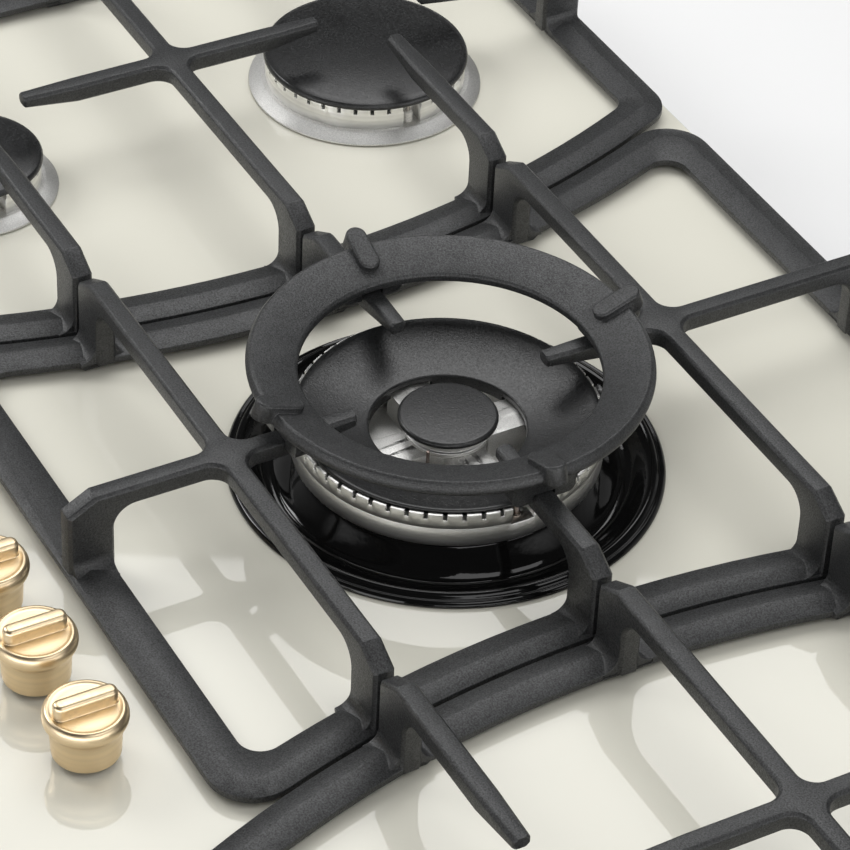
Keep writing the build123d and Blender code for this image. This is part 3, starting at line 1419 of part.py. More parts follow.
def feet(legs):
    """Rubber pads pressed into the feet of a support."""
    low = TOP + REST_GAP
    pads = []
    for place in legs:
        x, y = pad_place(*place)
        pads.append(rod(PAD_R, low, low + PAD_SHOWN + PAD_SUNK, x, y))
    return Compound(pads)


def left_of(shape):
    """Mirror image across the hob's centre plane."""
    return mirror(shape, about=Plane.YZ)


# ------------------------------------------------------------------ wok ring
def wok_ring():
    """Loose cast-iron ring for a wok: coned top, four lugs and four forks over the fingers."""
    slope = math.tan(math.radians(CONE_DEG))
    bore_z = WOK_RING_Z - (WOK_RING_R - WOK_RING_BORE_R) * slope
    section = [
        (WOK_RING_BORE_R + 0.8, bore_z + 0.3),
        (WOK_RING_R - 0.5, WOK_RING_Z - 0.2),
        (WOK_RING_R + 0.6, WOK_RING_Z - 0.7),
        (WOK_RING_R + 1.9, WOK_RING_Z - 2.6),
        (WOK_RING_R + 2.3, WOK_RING_Z - 4.4),
        (WOK_RING_R + 1.7, WOK_RING_Z - WOK_RING_T + 0.6),
        (WOK_RING_R + 0.3, WOK_RING_Z - WOK_RING_T),
        (WOK_RING_BORE_R + 1.2, bore_z - WOK_RING_T + 2.2),
        (WOK_RING_BORE_R, bore_z - WOK_RING_T + 3.2),
        (WOK_RING_BORE_R, bore_z - 0.8),
    ]
    ring = turned(section)
    mid_r = (LUG_IN_R + LUG_OUT_R) / 2.0
    mid_z = WOK_RING_Z - (WOK_RING_R - mid_r) * slope
    lug_face = Plane(origin=(mid_r, 0, mid_z), x_dir=(1, 0, slope), z_dir=(-slope, 0, 1))
    length = (LUG_OUT_R - LUG_IN_R) / math.cos(math.radians(CONE_DEG))
    lug = extrude(SlotOverall(length, LUG_W), LUG_SUNK + LUG_H)
    lug = fillet(lug.edges().group_by(Axis.Z)[-1], LUG_ROUND_R)
    lug = lug_face * Pos(0, 0, -LUG_SUNK) * lug
    tab_w = BAR_W + 2 * REST_GAP
    fork_w = tab_w + 2 * FORK_TAB_W
    fork_mid_r = (FORK_OUT_R + FORK_IN_R) / 2.0
    fork = block(FORK_OUT_R - FORK_IN_R, fork_w, FORK_FOOT_Z, FORK_TOP_Z, fork_mid_r)
    fork_corners = fork.edges().filter_by(Axis.X).group_by(Axis.Z)[0]
    fork = fillet(fork_corners, FORK_ROUND_R)
    fork -= block(FORK_OUT_R, tab_w, FORK_FOOT_Z - 1, BAR_TOP + REST_GAP, FORK_OUT_R)
    for turn in around(4):
        ring += turn * lug
        ring += turn * fork
    return Pos(0, BURNER_Y, TOP) * ring


# ------------------------------------------------------------------ assembly
def main():
    os.makedirs("parts", exist_ok=True)
    write("glass_top", glass_top())
    write("worktop_seal", worktop_seal())
    write("base_tray", base_tray())
    write("worktop_clamps", worktop_clamps())

    write("wok_bowl", wok_bowl())
    write("wok_burner_body", wok_burner_body())
    write("wok_flame_ring", wok_flame_ring())
    write("wok_ring_cap", wok_ring_cap())
    write("wok_inner_crown", wok_inner_crown())
    write("wok_inner_cap", wok_inner_cap())

    write("burner_gaskets", burner_gaskets())
    for name, (x, y, cap_r) in SIDE_BURNERS.items():
        write(f"{name}_cap", side_cap(x, y, cap_r))
    write("side_cups", Compound([side_cup(*place) for place in SIDE_BURNERS.values()]))
    write("side_crowns", Compound([side_crown(*place) for place in SIDE_BURNERS.values()]))
    write("spark_electrodes", spark_electrodes())
    write("thermocouples", thermocouples())

    write("burner_bridges", Compound([side_bridge(-1), centre_bridge(), side_bridge(1)]))
    write("screws", Compound(burner_screws() + clamp_screws()))

    write("jet_holders", jet_holders())
    write("injectors", injectors())
    write("gas_pipes", gas_pipes())
    write("pipe_nuts", pipe_nuts())
    write("manifold", manifold())
    write("feed_pipe", feed_pipe())
    write("inlet_fitting", inlet_fitting())
    write("inlet_nut", inlet_nut())

    write("tap_rail", tap_rail())
    write("tap_bodies", tap_bodies())
    write("tap_switches", tap_switches())
    write("spindle_seals", spindle_seals())
    for number, x in enumerate(knob_xs(), start=1):
        write(f"tap_plug_{number}", tap_plug(x))
        write(f"spindle_{number}", spindle(x))
        write(f"knob_{number}", knob(x))

    write("ignition_module", ignition_module())
    write("terminal_block", terminal_block())
    write("cable_gland", cable_gland())

    burner_row_low = BURNER_Y - BAR_Y
    burner_row_high = BURNER_Y + BAR_Y
    crossings = [(0, burner_row_low), (0, burner_row_high)]
    centre = support(centre_outline, centre_legs(), centre_runs(), crossings, centre_tips())
    right = support(side_outline, side_legs(), side_runs(), [(SIDE_X, BURNER_Y)], side_tips())
    write("pan_support_centre", centre)
    write("pan_support_right", right)
    write("pan_support_left", left_of(right))
    write("support_feet_centre", feet(centre_legs()))
    write("support_feet_right", feet(side_legs()))
    write("support_feet_left", left_of(feet(side_legs())))
    write("wok_ring", wok_ring())


main()
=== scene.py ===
"""Dresses the gas hob: rounded castings, turned enamel parts, bronze knobs, finishes and a plain studio."""
import math
import json

import bpy
from bpy.props import FloatProperty, FloatVectorProperty, IntProperty, PointerProperty
from mathutils import Matrix, Vector


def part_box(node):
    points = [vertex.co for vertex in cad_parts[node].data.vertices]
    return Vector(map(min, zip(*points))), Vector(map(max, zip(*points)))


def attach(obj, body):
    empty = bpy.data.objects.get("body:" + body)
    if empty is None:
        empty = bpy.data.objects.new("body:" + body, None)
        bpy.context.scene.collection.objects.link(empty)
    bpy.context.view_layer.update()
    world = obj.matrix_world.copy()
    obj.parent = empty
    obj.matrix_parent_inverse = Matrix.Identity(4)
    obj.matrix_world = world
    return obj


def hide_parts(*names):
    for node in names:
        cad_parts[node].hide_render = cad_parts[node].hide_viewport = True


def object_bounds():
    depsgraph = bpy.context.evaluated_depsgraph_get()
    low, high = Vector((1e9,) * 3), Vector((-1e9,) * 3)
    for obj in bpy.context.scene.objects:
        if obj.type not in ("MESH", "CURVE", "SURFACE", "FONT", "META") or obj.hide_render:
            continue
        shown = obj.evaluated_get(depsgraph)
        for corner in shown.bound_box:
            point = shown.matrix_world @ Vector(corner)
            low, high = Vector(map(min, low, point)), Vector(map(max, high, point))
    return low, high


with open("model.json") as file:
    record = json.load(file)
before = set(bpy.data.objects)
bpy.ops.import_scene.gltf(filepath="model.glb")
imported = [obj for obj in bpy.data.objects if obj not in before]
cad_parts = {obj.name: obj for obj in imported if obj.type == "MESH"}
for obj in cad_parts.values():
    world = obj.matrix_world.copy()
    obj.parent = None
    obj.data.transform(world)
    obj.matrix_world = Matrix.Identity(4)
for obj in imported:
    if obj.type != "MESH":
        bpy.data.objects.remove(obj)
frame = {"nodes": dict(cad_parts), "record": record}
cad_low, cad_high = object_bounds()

bl_info = {
    "name": "Gas Hob",
    "version": (1, 0, 0),
    "blender": (4, 5, 0),
    "location": "View3D > Sidebar > Gas Hob",
    "description": "Models and finishes the visible pieces of a built-in gas hob",
    "category": "Object",
}

MM = 0.001
GLASS_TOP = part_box("glass_top")[1].z


def middle(node):
    """Centre of a CAD node's box."""
    low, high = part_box(node)
    return (low + high) / 2.0


WOK_AXIS = middle("wok_ring_cap")
KNOB_NODES = sorted(name for name in frame["nodes"] if name.startswith("knob_"))
SIDE_CAPS = ["front_left_cap", "rear_left_cap", "rear_right_cap", "front_right_cap"]
SUPPORTS = ["pan_support_left", "pan_support_centre", "pan_support_right"]

# Lengths in mm. Heights are above the glass, but for the stem's foot, which is in the frame.
WELD = 0.002
SEAM_WELD = 0.01
SKIRT_LOW, SKIRT_HIGH = 16.0, 19.4
SKIRT_INSIDE_R = 64.0
KNOB_ROUND = 0.3
GRIP_HEIGHT = 7.5
GRIP_MIDDLE = 28.15
GRIP_TOP_EDGE = 31.3
STEM_R, PIN_R = 2.3, 0.8
STEM_FOOT_Z = -22.0
PIN_SUNK = 1.0
WOK_SPARK_X, WOK_SPARK_Y = 15.3, -17.9
WOK_SPARK_HEIGHTS = (15.0, 24.0)
SIDE_SPARK_IN = 5.5
SIDE_SPARK_HEIGHTS = (10.0, 14.8)
FLOOR_GAP = 0.2

# Lengths in metres. The camera and lamps face AIM, and the probes are blued between the two heights.
AIM = Vector((-26.15, 25.54, 8.0)) * MM
FLOOR_SIZE = 9.0
HEAT_START, HEAT_END = 0.006, 0.022

# Shares: of the skirt's width, the metal's rounding, the grip's width and the rods' radius.
SKIRT_DRAW = 0.976
CAP_ROUND = 1.6
GRIP_END_ROUND, GRIP_TOP_ROUND = 0.46, 0.3
STEM_TAPER, PIN_TAPER = 0.5, 0.6

# Faces that meet at less than this many degrees are one flat face.
FLAT_DEGREES = 0.6

# Colours of dust and of bronze rubbed bare.
IRON_DUST = (0.4, 0.39, 0.37)
GLASS_DUST = (0.62, 0.60, 0.56)
BOWL_DUST = (0.35, 0.34, 0.33)
PLASTIC_DUST = (0.5, 0.48, 0.45)
BARE_BRONZE = (0.95, 0.80, 0.58, 1.0)

# What gloss sees: the sky's fade and strength from the horizon up, then the room's height and width.
SKY_FADE, SKY_GLOSS = (0.05, 0.3), (0.35, 0.05)
ROOM_FADE, ROOM_WIDTH = (0.2, 0.45), (0.1, 0.6)

# Lamps: name, turn from the camera's azimuth in radians, height in degrees, distance and size in metres.
LAMPS = [
    ("overhead", math.pi, 62, 1.3, (1.1, 0.85)),
    ("side", -1.98, 33, 1.4, (0.5, 0.5)),
    ("front", 0.7, 50, 1.1, (0.9, 0.4)),
]


# ------------------------------------------------------------------ modelling helpers
def edit(piece):
    """Makes the piece the only selected object, in edit mode with everything selected."""
    pick(piece)
    bpy.ops.object.mode_set(mode="EDIT")
    bpy.ops.mesh.select_all(action="SELECT")


def pick(piece):
    """Makes the piece the only selected object."""
    bpy.ops.object.select_all(action="DESELECT")
    piece.select_set(True)
    bpy.context.view_layer.objects.active = piece


def leave_edit():
    """Back to object mode."""
    bpy.ops.object.mode_set(mode="OBJECT")


def settle(piece, crease=35.0):
    """Puts the piece's place into its mesh and shades it smooth but for its creases."""
    pick(piece)
    bpy.ops.object.transform_apply(location=True, rotation=True, scale=True)
    bpy.ops.object.shade_smooth_by_angle(angle=math.radians(crease))


def stands_for(piece, node, finish=None):
    """The piece replaces the node: same body, same slot, and the slot's finish."""
    slot = node_slot(node)
    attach(piece, body_of(node))
    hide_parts(node)
    piece.data.materials.clear()
    piece.data.materials.append(finish or bpy.data.materials[slot])


def node_slot(node):
    """Material slot of a CAD node, from the record."""
    return next(part["material_slot"] for part in frame["record"]["subparts"] if part["node"] == node)


def body_of(node):
    """Body of a CAD node, from the record."""
    bodies = frame["record"]["behaviour"]["bodies"]
    return next(body for body, nodes in bodies.items() if node in nodes)


def copy_of(node, name):
    """New object with a welded copy of the node's mesh, its flat faces made whole and split evenly."""
    piece = bpy.data.objects.new(name, frame["nodes"][node].data.copy())
    bpy.context.scene.collection.objects.link(piece)
    pick(piece)
    bpy.ops.mesh.customdata_custom_splitnormals_clear()
    edit(piece)
    bpy.ops.mesh.remove_doubles(threshold=WELD * MM)
    bpy.ops.mesh.dissolve_limited(angle_limit=math.radians(FLAT_DEGREES))
    bpy.ops.mesh.quads_convert_to_tris(quad_method="BEAUTY", ngon_method="BEAUTY")
    leave_edit()
    return piece


def soften(piece, width, segments=2, angle=28.0):
    """Rounds the piece's sharp edges."""
    pick(piece)
    rounding = piece.modifiers.new("rounding", "BEVEL")
    rounding.width = width
    rounding.segments = segments
    rounding.limit_method = "ANGLE"
    rounding.angle_limit = math.radians(angle)
    rounding.use_clamp_overlap = False
    rounding.miter_outer = "MITER_ARC"
    rounding.loop_slide = True
    bpy.ops.object.modifier_apply(modifier=rounding.name)


def soft_copy(node, name, width, segments=2, angle=28.0):
    """The node's shape with rounded edges, standing for the node."""
    piece = copy_of(node, name)
    soften(piece, width, segments, angle)
    settle(piece)
    stands_for(piece, node)
    return piece


def turned(name, profile, axis, steps):
    """Smooth piece of revolution about a vertical axis, from a loop of (radius, height) points in mm."""
    bpy.ops.object.select_all(action="DESELECT")
    start_r, start_z = profile[0]
    bpy.ops.mesh.primitive_plane_add(size=MM, location=(axis.x + start_r * MM, axis.y, axis.z + start_z * MM))
    piece = bpy.context.object
    piece.name = name
    edit(piece)
    bpy.ops.mesh.merge(type="CENTER")
    for (r0, z0), (r1, z1) in zip(profile, profile[1:]):
        step = {"value": ((r1 - r0) * MM, 0, (z1 - z0) * MM)}
        bpy.ops.mesh.extrude_vertices_move(TRANSFORM_OT_translate=step)
    bpy.ops.mesh.select_all(action="SELECT")
    bpy.ops.mesh.spin(steps=steps, angle=math.tau, center=(axis.x, axis.y, 0), axis=(0, 0, 1))
    bpy.ops.mesh.select_all(action="SELECT")
    bpy.ops.mesh.remove_doubles(threshold=SEAM_WELD * MM)
    bpy.ops.mesh.normals_make_consistent(inside=False)
    leave_edit()
    smooth = piece.modifiers.new("smooth", "SUBSURF")
    smooth.levels = 2
    bpy.ops.object.modifier_apply(modifier=smooth.name)
    settle(piece, crease=60.0)
    return piece


# ------------------------------------------------------------------ shader helpers
def feed(tree, socket, value):
    """Links an output to the socket, or sets the socket's value."""
    if isinstance(value, bpy.types.NodeSocket):
        tree.links.new(value, socket)
    else:
        socket.default_value = value


def maths(tree, operation, *values):
    """Output of a Math node."""
    node = tree.nodes.new("ShaderNodeMath")
    node.operation = operation
    for socket, value in zip(node.inputs, values):
        feed(tree, socket, value)
    return node.outputs[0]


def spread(tree, value, low, high, to_low=0.0, to_high=1.0):
    """Value from low..high, mapped to another range and kept inside it."""
    node = tree.nodes.new("ShaderNodeMapRange")
    for socket, number in zip(node.inputs, (value, low, high, to_low, to_high)):
        feed(tree, socket, number)
    return node.outputs[0]


def noise(tree, vector, scale, detail=2.0, roughness=0.5):
    """Factor of a Noise Texture."""
    node = tree.nodes.new("ShaderNodeTexNoise")
    feed(tree, node.inputs["Vector"], vector)
    feed(tree, node.inputs["Scale"], scale)
    node.inputs["Detail"].default_value = detail
    node.inputs["Roughness"].default_value = roughness
    return node.outputs["Fac"]


def cells(tree, vector, scale, output):
    """One output of a Voronoi Texture."""
    node = tree.nodes.new("ShaderNodeTexVoronoi")
    feed(tree, node.inputs["Vector"], vector)
    feed(tree, node.inputs["Scale"], scale)
    return node.outputs[output]


def parts_of(tree, vector):
    """X, Y and Z of a vector."""
    node = tree.nodes.new("ShaderNodeSeparateXYZ")
    feed(tree, node.inputs[0], vector)
    return node.outputs


def vector_of(tree, x, y, z):
    """Vector from three values."""
    node = tree.nodes.new("ShaderNodeCombineXYZ")
    for socket, value in zip(node.inputs, (x, y, z)):
        feed(tree, socket, value)
    return node.outputs[0]


def place(tree):
    """Object coordinates."""
    return tree.nodes.new("ShaderNodeTexCoord").outputs["Object"]


def blend(tree, factor, first, second):
    """Colour between two colours."""
    node = tree.nodes.new("ShaderNodeMix")
    node.data_type = "RGBA"
    feed(tree, node.inputs[0], factor)
    feed(tree, node.inputs[6], first)
    feed(tree, node.inputs[7], second)
    return node.outputs[2]


def between(tree, factor, first, second):
    """Number between two numbers."""
    node = tree.nodes.new("ShaderNodeMix")
    feed(tree, node.inputs[0], factor)
    feed(tree, node.inputs[2], first)
    feed(tree, node.inputs[3], second)
    return node.outputs[0]


def new_group(name, inputs, outputs):
    """Empty shader node group with named value and vector sockets."""
    tree = bpy.data.node_groups.new(name, "ShaderNodeTree")
    for label, kind, default in inputs:
        socket = tree.interface.new_socket(label, in_out="INPUT", socket_type=kind)
        if kind == "NodeSocketFloat":
            socket.default_value = default
    for label in outputs:
        tree.interface.new_socket(label, in_out="OUTPUT", socket_type="NodeSocketFloat")
    return tree, tree.nodes.new("NodeGroupInput").outputs, tree.nodes.new("NodeGroupOutput").inputs


def use(tree, group_name, **values):
    """Outputs of a group placed in a material, with its own values."""
    node = tree.nodes.new("ShaderNodeGroup")
    node.node_tree = bpy.data.node_groups[group_name]
    for label, value in values.items():
        feed(tree, node.inputs[label], value)
    return node.outputs


# ------------------------------------------------------------------ shared effects
def make_cast_grain():
    """Fine rounded grain of a sand casting under enamel, over slow lumps."""
    inputs = [("Vector", "NodeSocketVector", None), ("Size", "NodeSocketFloat", 0.001)]
    tree, entry, leaving = new_group("Cast grain", inputs, ["Height", "Speck"])
    scale = maths(tree, "DIVIDE", 1.0, entry["Size"])
    fine = noise(tree, entry["Vector"], scale, 3.0, 0.6)
    pits = cells(tree, entry["Vector"], maths(tree, "MULTIPLY", scale, 1.3), "Distance")
    lumps = noise(tree, entry["Vector"], maths(tree, "DIVIDE", scale, 9.0), 2.0)
    rough = maths(tree, "MULTIPLY_ADD", pits, 0.5, fine)
    feed(tree, leaving["Height"], maths(tree, "MULTIPLY_ADD", lumps, 0.5, rough))
    feed(tree, leaving["Speck"], spread(tree, maths(tree, "MULTIPLY_ADD", lumps, 0.12, fine), 0.38, 0.74))


def make_edge_wear_and_highlight():
    """Mask of the convex edges, where a finish rubs thin; on the iron it also places a painted edge
    highlight.
    """
    inputs = [
        ("Vector", "NodeSocketVector", None),
        ("Radius", "NodeSocketFloat", 0.001),
        ("Patch", "NodeSocketFloat", 0.01),
    ]
    tree, entry, leaving = new_group("Edge wear", inputs, ["Mask"])
    rounded = tree.nodes.new("ShaderNodeBevel")
    rounded.samples = 4
    feed(tree, rounded.inputs["Radius"], entry["Radius"])
    faces = tree.nodes.new("ShaderNodeNewGeometry")
    bent = tree.nodes.new("ShaderNodeVectorMath")
    bent.operation = "DOT_PRODUCT"
    feed(tree, bent.inputs[0], rounded.outputs[0])
    feed(tree, bent.inputs[1], faces.outputs["True Normal"])
    edge = spread(tree, bent.outputs["Value"], 0.985, 0.9)
    patchy = noise(tree, entry["Vector"], maths(tree, "DIVIDE", 1.0, entry["Patch"]), 4.0, 0.65)
    feed(tree, leaving["Mask"], maths(tree, "MULTIPLY", edge, spread(tree, patchy, 0.3, 0.7)))


def make_turned_lines():
    """Fine uneven rings that a lathe tool leaves about the Z axis."""
    inputs = [("Vector", "NodeSocketVector", None), ("Pitch", "NodeSocketFloat", 0.0005)]
    tree, entry, leaving = new_group("Turned lines", inputs, ["Height", "Streak"])
    x, y, z = parts_of(tree, entry["Vector"])
    squares = maths(tree, "ADD", maths(tree, "POWER", x, 2.0), maths(tree, "POWER", y, 2.0))
    radius = maths(tree, "SQRT", squares)
    across = vector_of(tree, radius, maths(tree, "MULTIPLY", maths(tree, "ARCTAN2", y, x), 0.0004), z)
    scale = maths(tree, "DIVIDE", 1.0, entry["Pitch"])
    feed(tree, leaving["Height"], noise(tree, across, scale, 3.0, 0.7))
    streak = noise(tree, across, maths(tree, "DIVIDE", scale, 4.0), 3.0)
    feed(tree, leaving["Streak"], spread(tree, streak, 0.35, 0.65))


def make_dust():
    """Mask of fine dust on faces that look up."""
    inputs = [("Vector", "NodeSocketVector", None), ("Size", "NodeSocketFloat", 0.001)]
    tree, entry, leaving = new_group("Dust", inputs, ["Mask"])
    faces = tree.nodes.new("ShaderNodeNewGeometry")
    upward = spread(tree, parts_of(tree, faces.outputs["Normal"])["Z"], 0.5, 1.0)
    scale = maths(tree, "DIVIDE", 1.0, entry["Size"])
    specks = spread(tree, noise(tree, entry["Vector"], scale, 4.0, 0.7), 0.62, 0.75)
    drift = spread(tree, noise(tree, entry["Vector"], maths(tree, "DIVIDE", scale, 60.0), 2.0), 0.3, 0.8)
    feed(tree, leaving["Mask"], maths(tree, "MULTIPLY", upward, maths(tree, "MULTIPLY", specks, drift)))


def make_wipe_marks():
    """Soft streaks that a cloth leaves on a smooth face."""
    inputs = [("Vector", "NodeSocketVector", None), ("Size", "NodeSocketFloat", 0.05)]
    tree, entry, leaving = new_group("Wipe marks", inputs, ["Mask"])
    x, y, z = parts_of(tree, entry["Vector"])
    drawn = vector_of(tree, x, maths(tree, "MULTIPLY_ADD", x, 0.4, maths(tree, "MULTIPLY", y, 4.0)), z)
    scale = maths(tree, "DIVIDE", 1.0, entry["Size"])
    feed(tree, leaving["Mask"], spread(tree, noise(tree, drawn, scale, 4.0, 0.6), 0.3, 0.75))


def make_zinc_spangle():
    """Flat crystals of a zinc coat, each with its own shade."""
    inputs = [("Vector", "NodeSocketVector", None), ("Size", "NodeSocketFloat", 0.006)]
    tree, entry, leaving = new_group("Zinc spangle", inputs, ["Shade", "Height"])
    scale = maths(tree, "DIVIDE", 1.0, entry["Size"])
    tint = tree.nodes.new("ShaderNodeRGBToBW")
    feed(tree, tint.inputs[0], cells(tree, entry["Vector"], scale, "Color"))
    feed(tree, leaving["Shade"], tint.outputs[0])
    feed(tree, leaving["Height"], noise(tree, entry["Vector"], maths(tree, "MULTIPLY", scale, 6.0), 3.0))


# ------------------------------------------------------------------ finishes
def new_finish(slot, colour, roughness, metallic=0.0):
    """Material of a slot with a plain shader, and its node tree."""
    old = bpy.data.materials.get(slot)
    if old:
        old.name = "plain_" + slot
    material = bpy.data.materials.new(slot)
    material.use_nodes = True
    material.diffuse_color = (*colour, 1.0)
    shader = material.node_tree.nodes["Principled BSDF"]
    shader.inputs["Base Color"].default_value = (*colour, 1.0)
    shader.inputs["Roughness"].default_value = roughness
    shader.inputs["Metallic"].default_value = metallic
    return material.node_tree, shader.inputs


def shade(colour, factor):
    """Lighter or darker colour, with alpha."""
    return (*[min(1.0, value * factor) for value in colour], 1.0)


def press(tree, inputs, height, depth):
    """Height as a bump of the shader's normal."""
    node = tree.nodes.new("ShaderNodeBump")
    node.inputs["Strength"].default_value = 1.0
    node.inputs["Distance"].default_value = depth
    feed(tree, node.inputs["Height"], height)
    feed(tree, inputs["Normal"], node.outputs[0])


def dusted(tree, spot, tone, size, amount, dust):
    """Tone under a little dust of a given grain and colour."""
    dusty = maths(tree, "MULTIPLY", use(tree, "Dust", Vector=spot, Size=size)["Mask"], amount)
    return blend(tree, dusty, tone, (*dust, 1.0))


def worn_and_lit_edges(tree, spot, tone, reach, patch, amount, worn_and_lit_colour):
    """Tone paled towards a given colour on the edges, where the finish rubs thin; on the iron this is also a
    painted edge highlight.
    """
    worn_and_lit = use(tree, "Edge wear", Vector=spot, Radius=reach, Patch=patch)["Mask"]
    return blend(tree, maths(tree, "MULTIPLY", worn_and_lit, amount), tone, worn_and_lit_colour)


def record_colour(slot):
    """Base colour of a slot in the record."""
    return next(entry["base_color"] for entry in frame["record"]["materials"] if entry["slot"] == slot)[:3]


def glass_finish(settings):
    """Clear glass over a pale back coat: wipe marks, a little dust and a green edge."""
    tree, inputs = new_finish("ivory_glass", settings.colour, 0.02)
    inputs["IOR"].default_value = 1.52
    spot = place(tree)
    cloud = noise(tree, spot, 9.0, 3.0)
    coat = blend(tree, cloud, shade(settings.colour, 0.985), shade(settings.colour, 1.015))
    faces = tree.nodes.new("ShaderNodeNewGeometry")
    level = maths(tree, "ABSOLUTE", parts_of(tree, faces.outputs["True Normal"])["Z"])
    coat = blend(tree, spread(tree, level, 0.97, 0.85), coat, (*settings.edge_colour, 1.0))
    feed(tree, inputs["Base Color"], dusted(tree, spot, coat, 0.0012, 0.12, GLASS_DUST))
    wiped = use(tree, "Wipe marks", Vector=spot, Size=0.09)["Mask"]
    feed(tree, inputs["Roughness"], spread(tree, wiped, 0.0, 1.0, 0.015, 0.05))
    press(tree, inputs, noise(tree, spot, 14.0, 1.0), 0.00004)


def iron_finish(settings):
    """Matte enamel over cast iron, paler on the edges, where the enamel rubs thin and where a painted
    highlight lines them.
    """
    tree, inputs = new_finish("cast_iron", settings.colour, 0.45)
    spot = place(tree)
    grain = use(tree, "Cast grain", Vector=spot, Size=settings.grain_size)
    body = blend(tree, grain["Speck"], shade(settings.colour, 0.1), shade(settings.colour, 2.9))
    # Painted highlight: the edges pale towards four times the enamel's colour, partly enamel rubbing thin,
    # partly standing in for bright lines of light along the edges.
    body = worn_and_lit_edges(tree, spot, body, settings.wear_and_highlight_width, 0.012, settings.wear_and_highlight, shade(settings.colour, 4.0))
    feed(tree, inputs["Base Color"], dusted(tree, spot, body, 0.0007, 0.1, IRON_DUST))
    feed(tree, inputs["Roughness"], spread(tree, grain["Speck"], 0.0, 1.0, 0.5, 0.32))
    press(tree, inputs, grain["Height"], settings.grain_depth)


def cap_finish(settings):
    """Satin black enamel of the caps, with a fine leathery grain."""
    tree, inputs = new_finish("matte_enamel", settings.cap_colour, 0.36)
    spot = place(tree)
    grain = use(tree, "Cast grain", Vector=spot, Size=0.001)
    pale = shade(settings.cap_colour, 3.0)
    body = blend(tree, grain["Speck"], shade(settings.cap_colour, 0.15), pale)
    body = worn_and_lit_edges(tree, spot, body, 0.0006, 0.008, 0.25, pale)
    feed(tree, inputs["Base Color"], dusted(tree, spot, body, 0.0006, 0.1, IRON_DUST))
    feed(tree, inputs["Roughness"], spread(tree, grain["Speck"], 0.0, 1.0, 0.36, 0.25))
    press(tree, inputs, grain["Height"], 0.00006)


def bowl_finish(settings):
    """Gloss black enamel with a faint orange peel."""
    tree, inputs = new_finish("black_enamel", settings.bowl_colour, 0.06)
    inputs["Specular IOR Level"].default_value = 0.4
    spot = place(tree)
    flow = noise(tree, spot, 60.0, 2.0)
    body = blend(tree, flow, shade(settings.bowl_colour, 0.8), shade(settings.bowl_colour, 1.3))
    feed(tree, inputs["Base Color"], dusted(tree, spot, body, 0.0008, 0.07, BOWL_DUST))
    feed(tree, inputs["Roughness"], spread(tree, flow, 0.3, 0.7, 0.04, 0.1))
    press(tree, inputs, noise(tree, spot, 330.0, 2.0), 0.00003)


def turned_aluminium_finish(settings):
    """Bright turned aluminium with lathe lines about each burner's own axis."""
    tree, inputs = new_finish("satin_aluminium", settings.metal_colour, 0.3, 1.0)
    inputs["Anisotropic"].default_value = 0.75
    spot = place(tree)
    centred = burner_centred(tree, spot)
    x, y, z = parts_of(tree, centred)
    feed(tree, inputs["Tangent"], vector_of(tree, maths(tree, "MULTIPLY", y, -1.0), x, 0.0))
    lines = use(tree, "Turned lines", Vector=centred, Pitch=0.0006)
    metal = settings.metal_colour
    tone = blend(tree, lines["Streak"], shade(metal, 0.88), shade(metal, 1.06))
    feed(tree, inputs["Base Color"], worn_and_lit_edges(tree, spot, tone, 0.0004, 0.006, 0.4, shade(metal, 1.25)))
    feed(tree, inputs["Roughness"], spread(tree, lines["Streak"], 0.0, 1.0, 0.54, 0.42))
    press(tree, inputs, lines["Height"], 0.00003)


def burner_centred(tree, spot):
    """Coordinates from the nearest burner's axis, with the side burners mirrored onto one."""
    x, y, z = parts_of(tree, spot)
    side = [middle(cap) for cap in SIDE_CAPS]
    side_x = max(cap.x for cap in side)
    row = max(cap.y for cap in side) - WOK_AXIS.y
    aside = maths(tree, "GREATER_THAN", maths(tree, "ABSOLUTE", x), side_x / 2.0)
    from_y = maths(tree, "SUBTRACT", y, WOK_AXIS.y)
    folded_x = maths(tree, "SUBTRACT", maths(tree, "ABSOLUTE", x), side_x)
    folded_y = maths(tree, "SUBTRACT", maths(tree, "ABSOLUTE", from_y), row)
    both = []
    for near, far in ((x, folded_x), (from_y, folded_y)):
        gap = maths(tree, "SUBTRACT", far, near)
        both.append(maths(tree, "MULTIPLY_ADD", gap, aside, near))
    return vector_of(tree, both[0], both[1], z)


def cast_aluminium_finish(settings):
    """Bright die-cast aluminium with a fine skin."""
    tree, inputs = new_finish("cast_aluminium", settings.metal_colour, 0.35, 1.0)
    spot = place(tree)
    grain = use(tree, "Cast grain", Vector=spot, Size=0.0006)
    tone = blend(tree, grain["Speck"], shade(settings.metal_colour, 0.72), shade(settings.metal_colour, 0.92))
    feed(tree, inputs["Base Color"], tone)
    feed(tree, inputs["Roughness"], spread(tree, grain["Speck"], 0.0, 1.0, 0.6, 0.5))
    press(tree, inputs, grain["Height"], 0.00004)


def knob_finish(settings):
    """Satin bronze with turned lines about each knob's own axis."""
    tree, inputs = new_finish("bronze_knob", settings.colour, 0.3, 1.0)
    spot = place(tree)
    x, y, z = parts_of(tree, spot)
    pitch = middle(KNOB_NODES[1]).x - middle(KNOB_NODES[0]).x
    nearest = maths(tree, "MULTIPLY", maths(tree, "ROUND", maths(tree, "DIVIDE", x, pitch)), pitch)
    centred = vector_of(
        tree, maths(tree, "SUBTRACT", x, nearest), maths(tree, "SUBTRACT", y, middle(KNOB_NODES[0]).y), z
    )
    lines = use(tree, "Turned lines", Vector=centred, Pitch=0.0005)
    tone = blend(tree, lines["Streak"], shade(settings.colour, 0.94), shade(settings.colour, 1.05))
    feed(tree, inputs["Base Color"], worn_and_lit_edges(tree, spot, tone, 0.0006, 0.006, 0.35, BARE_BRONZE))
    feed(tree, inputs["Roughness"], spread(tree, lines["Streak"], 0.0, 1.0, 0.4, 0.32))
    press(tree, inputs, lines["Height"], 0.000012)


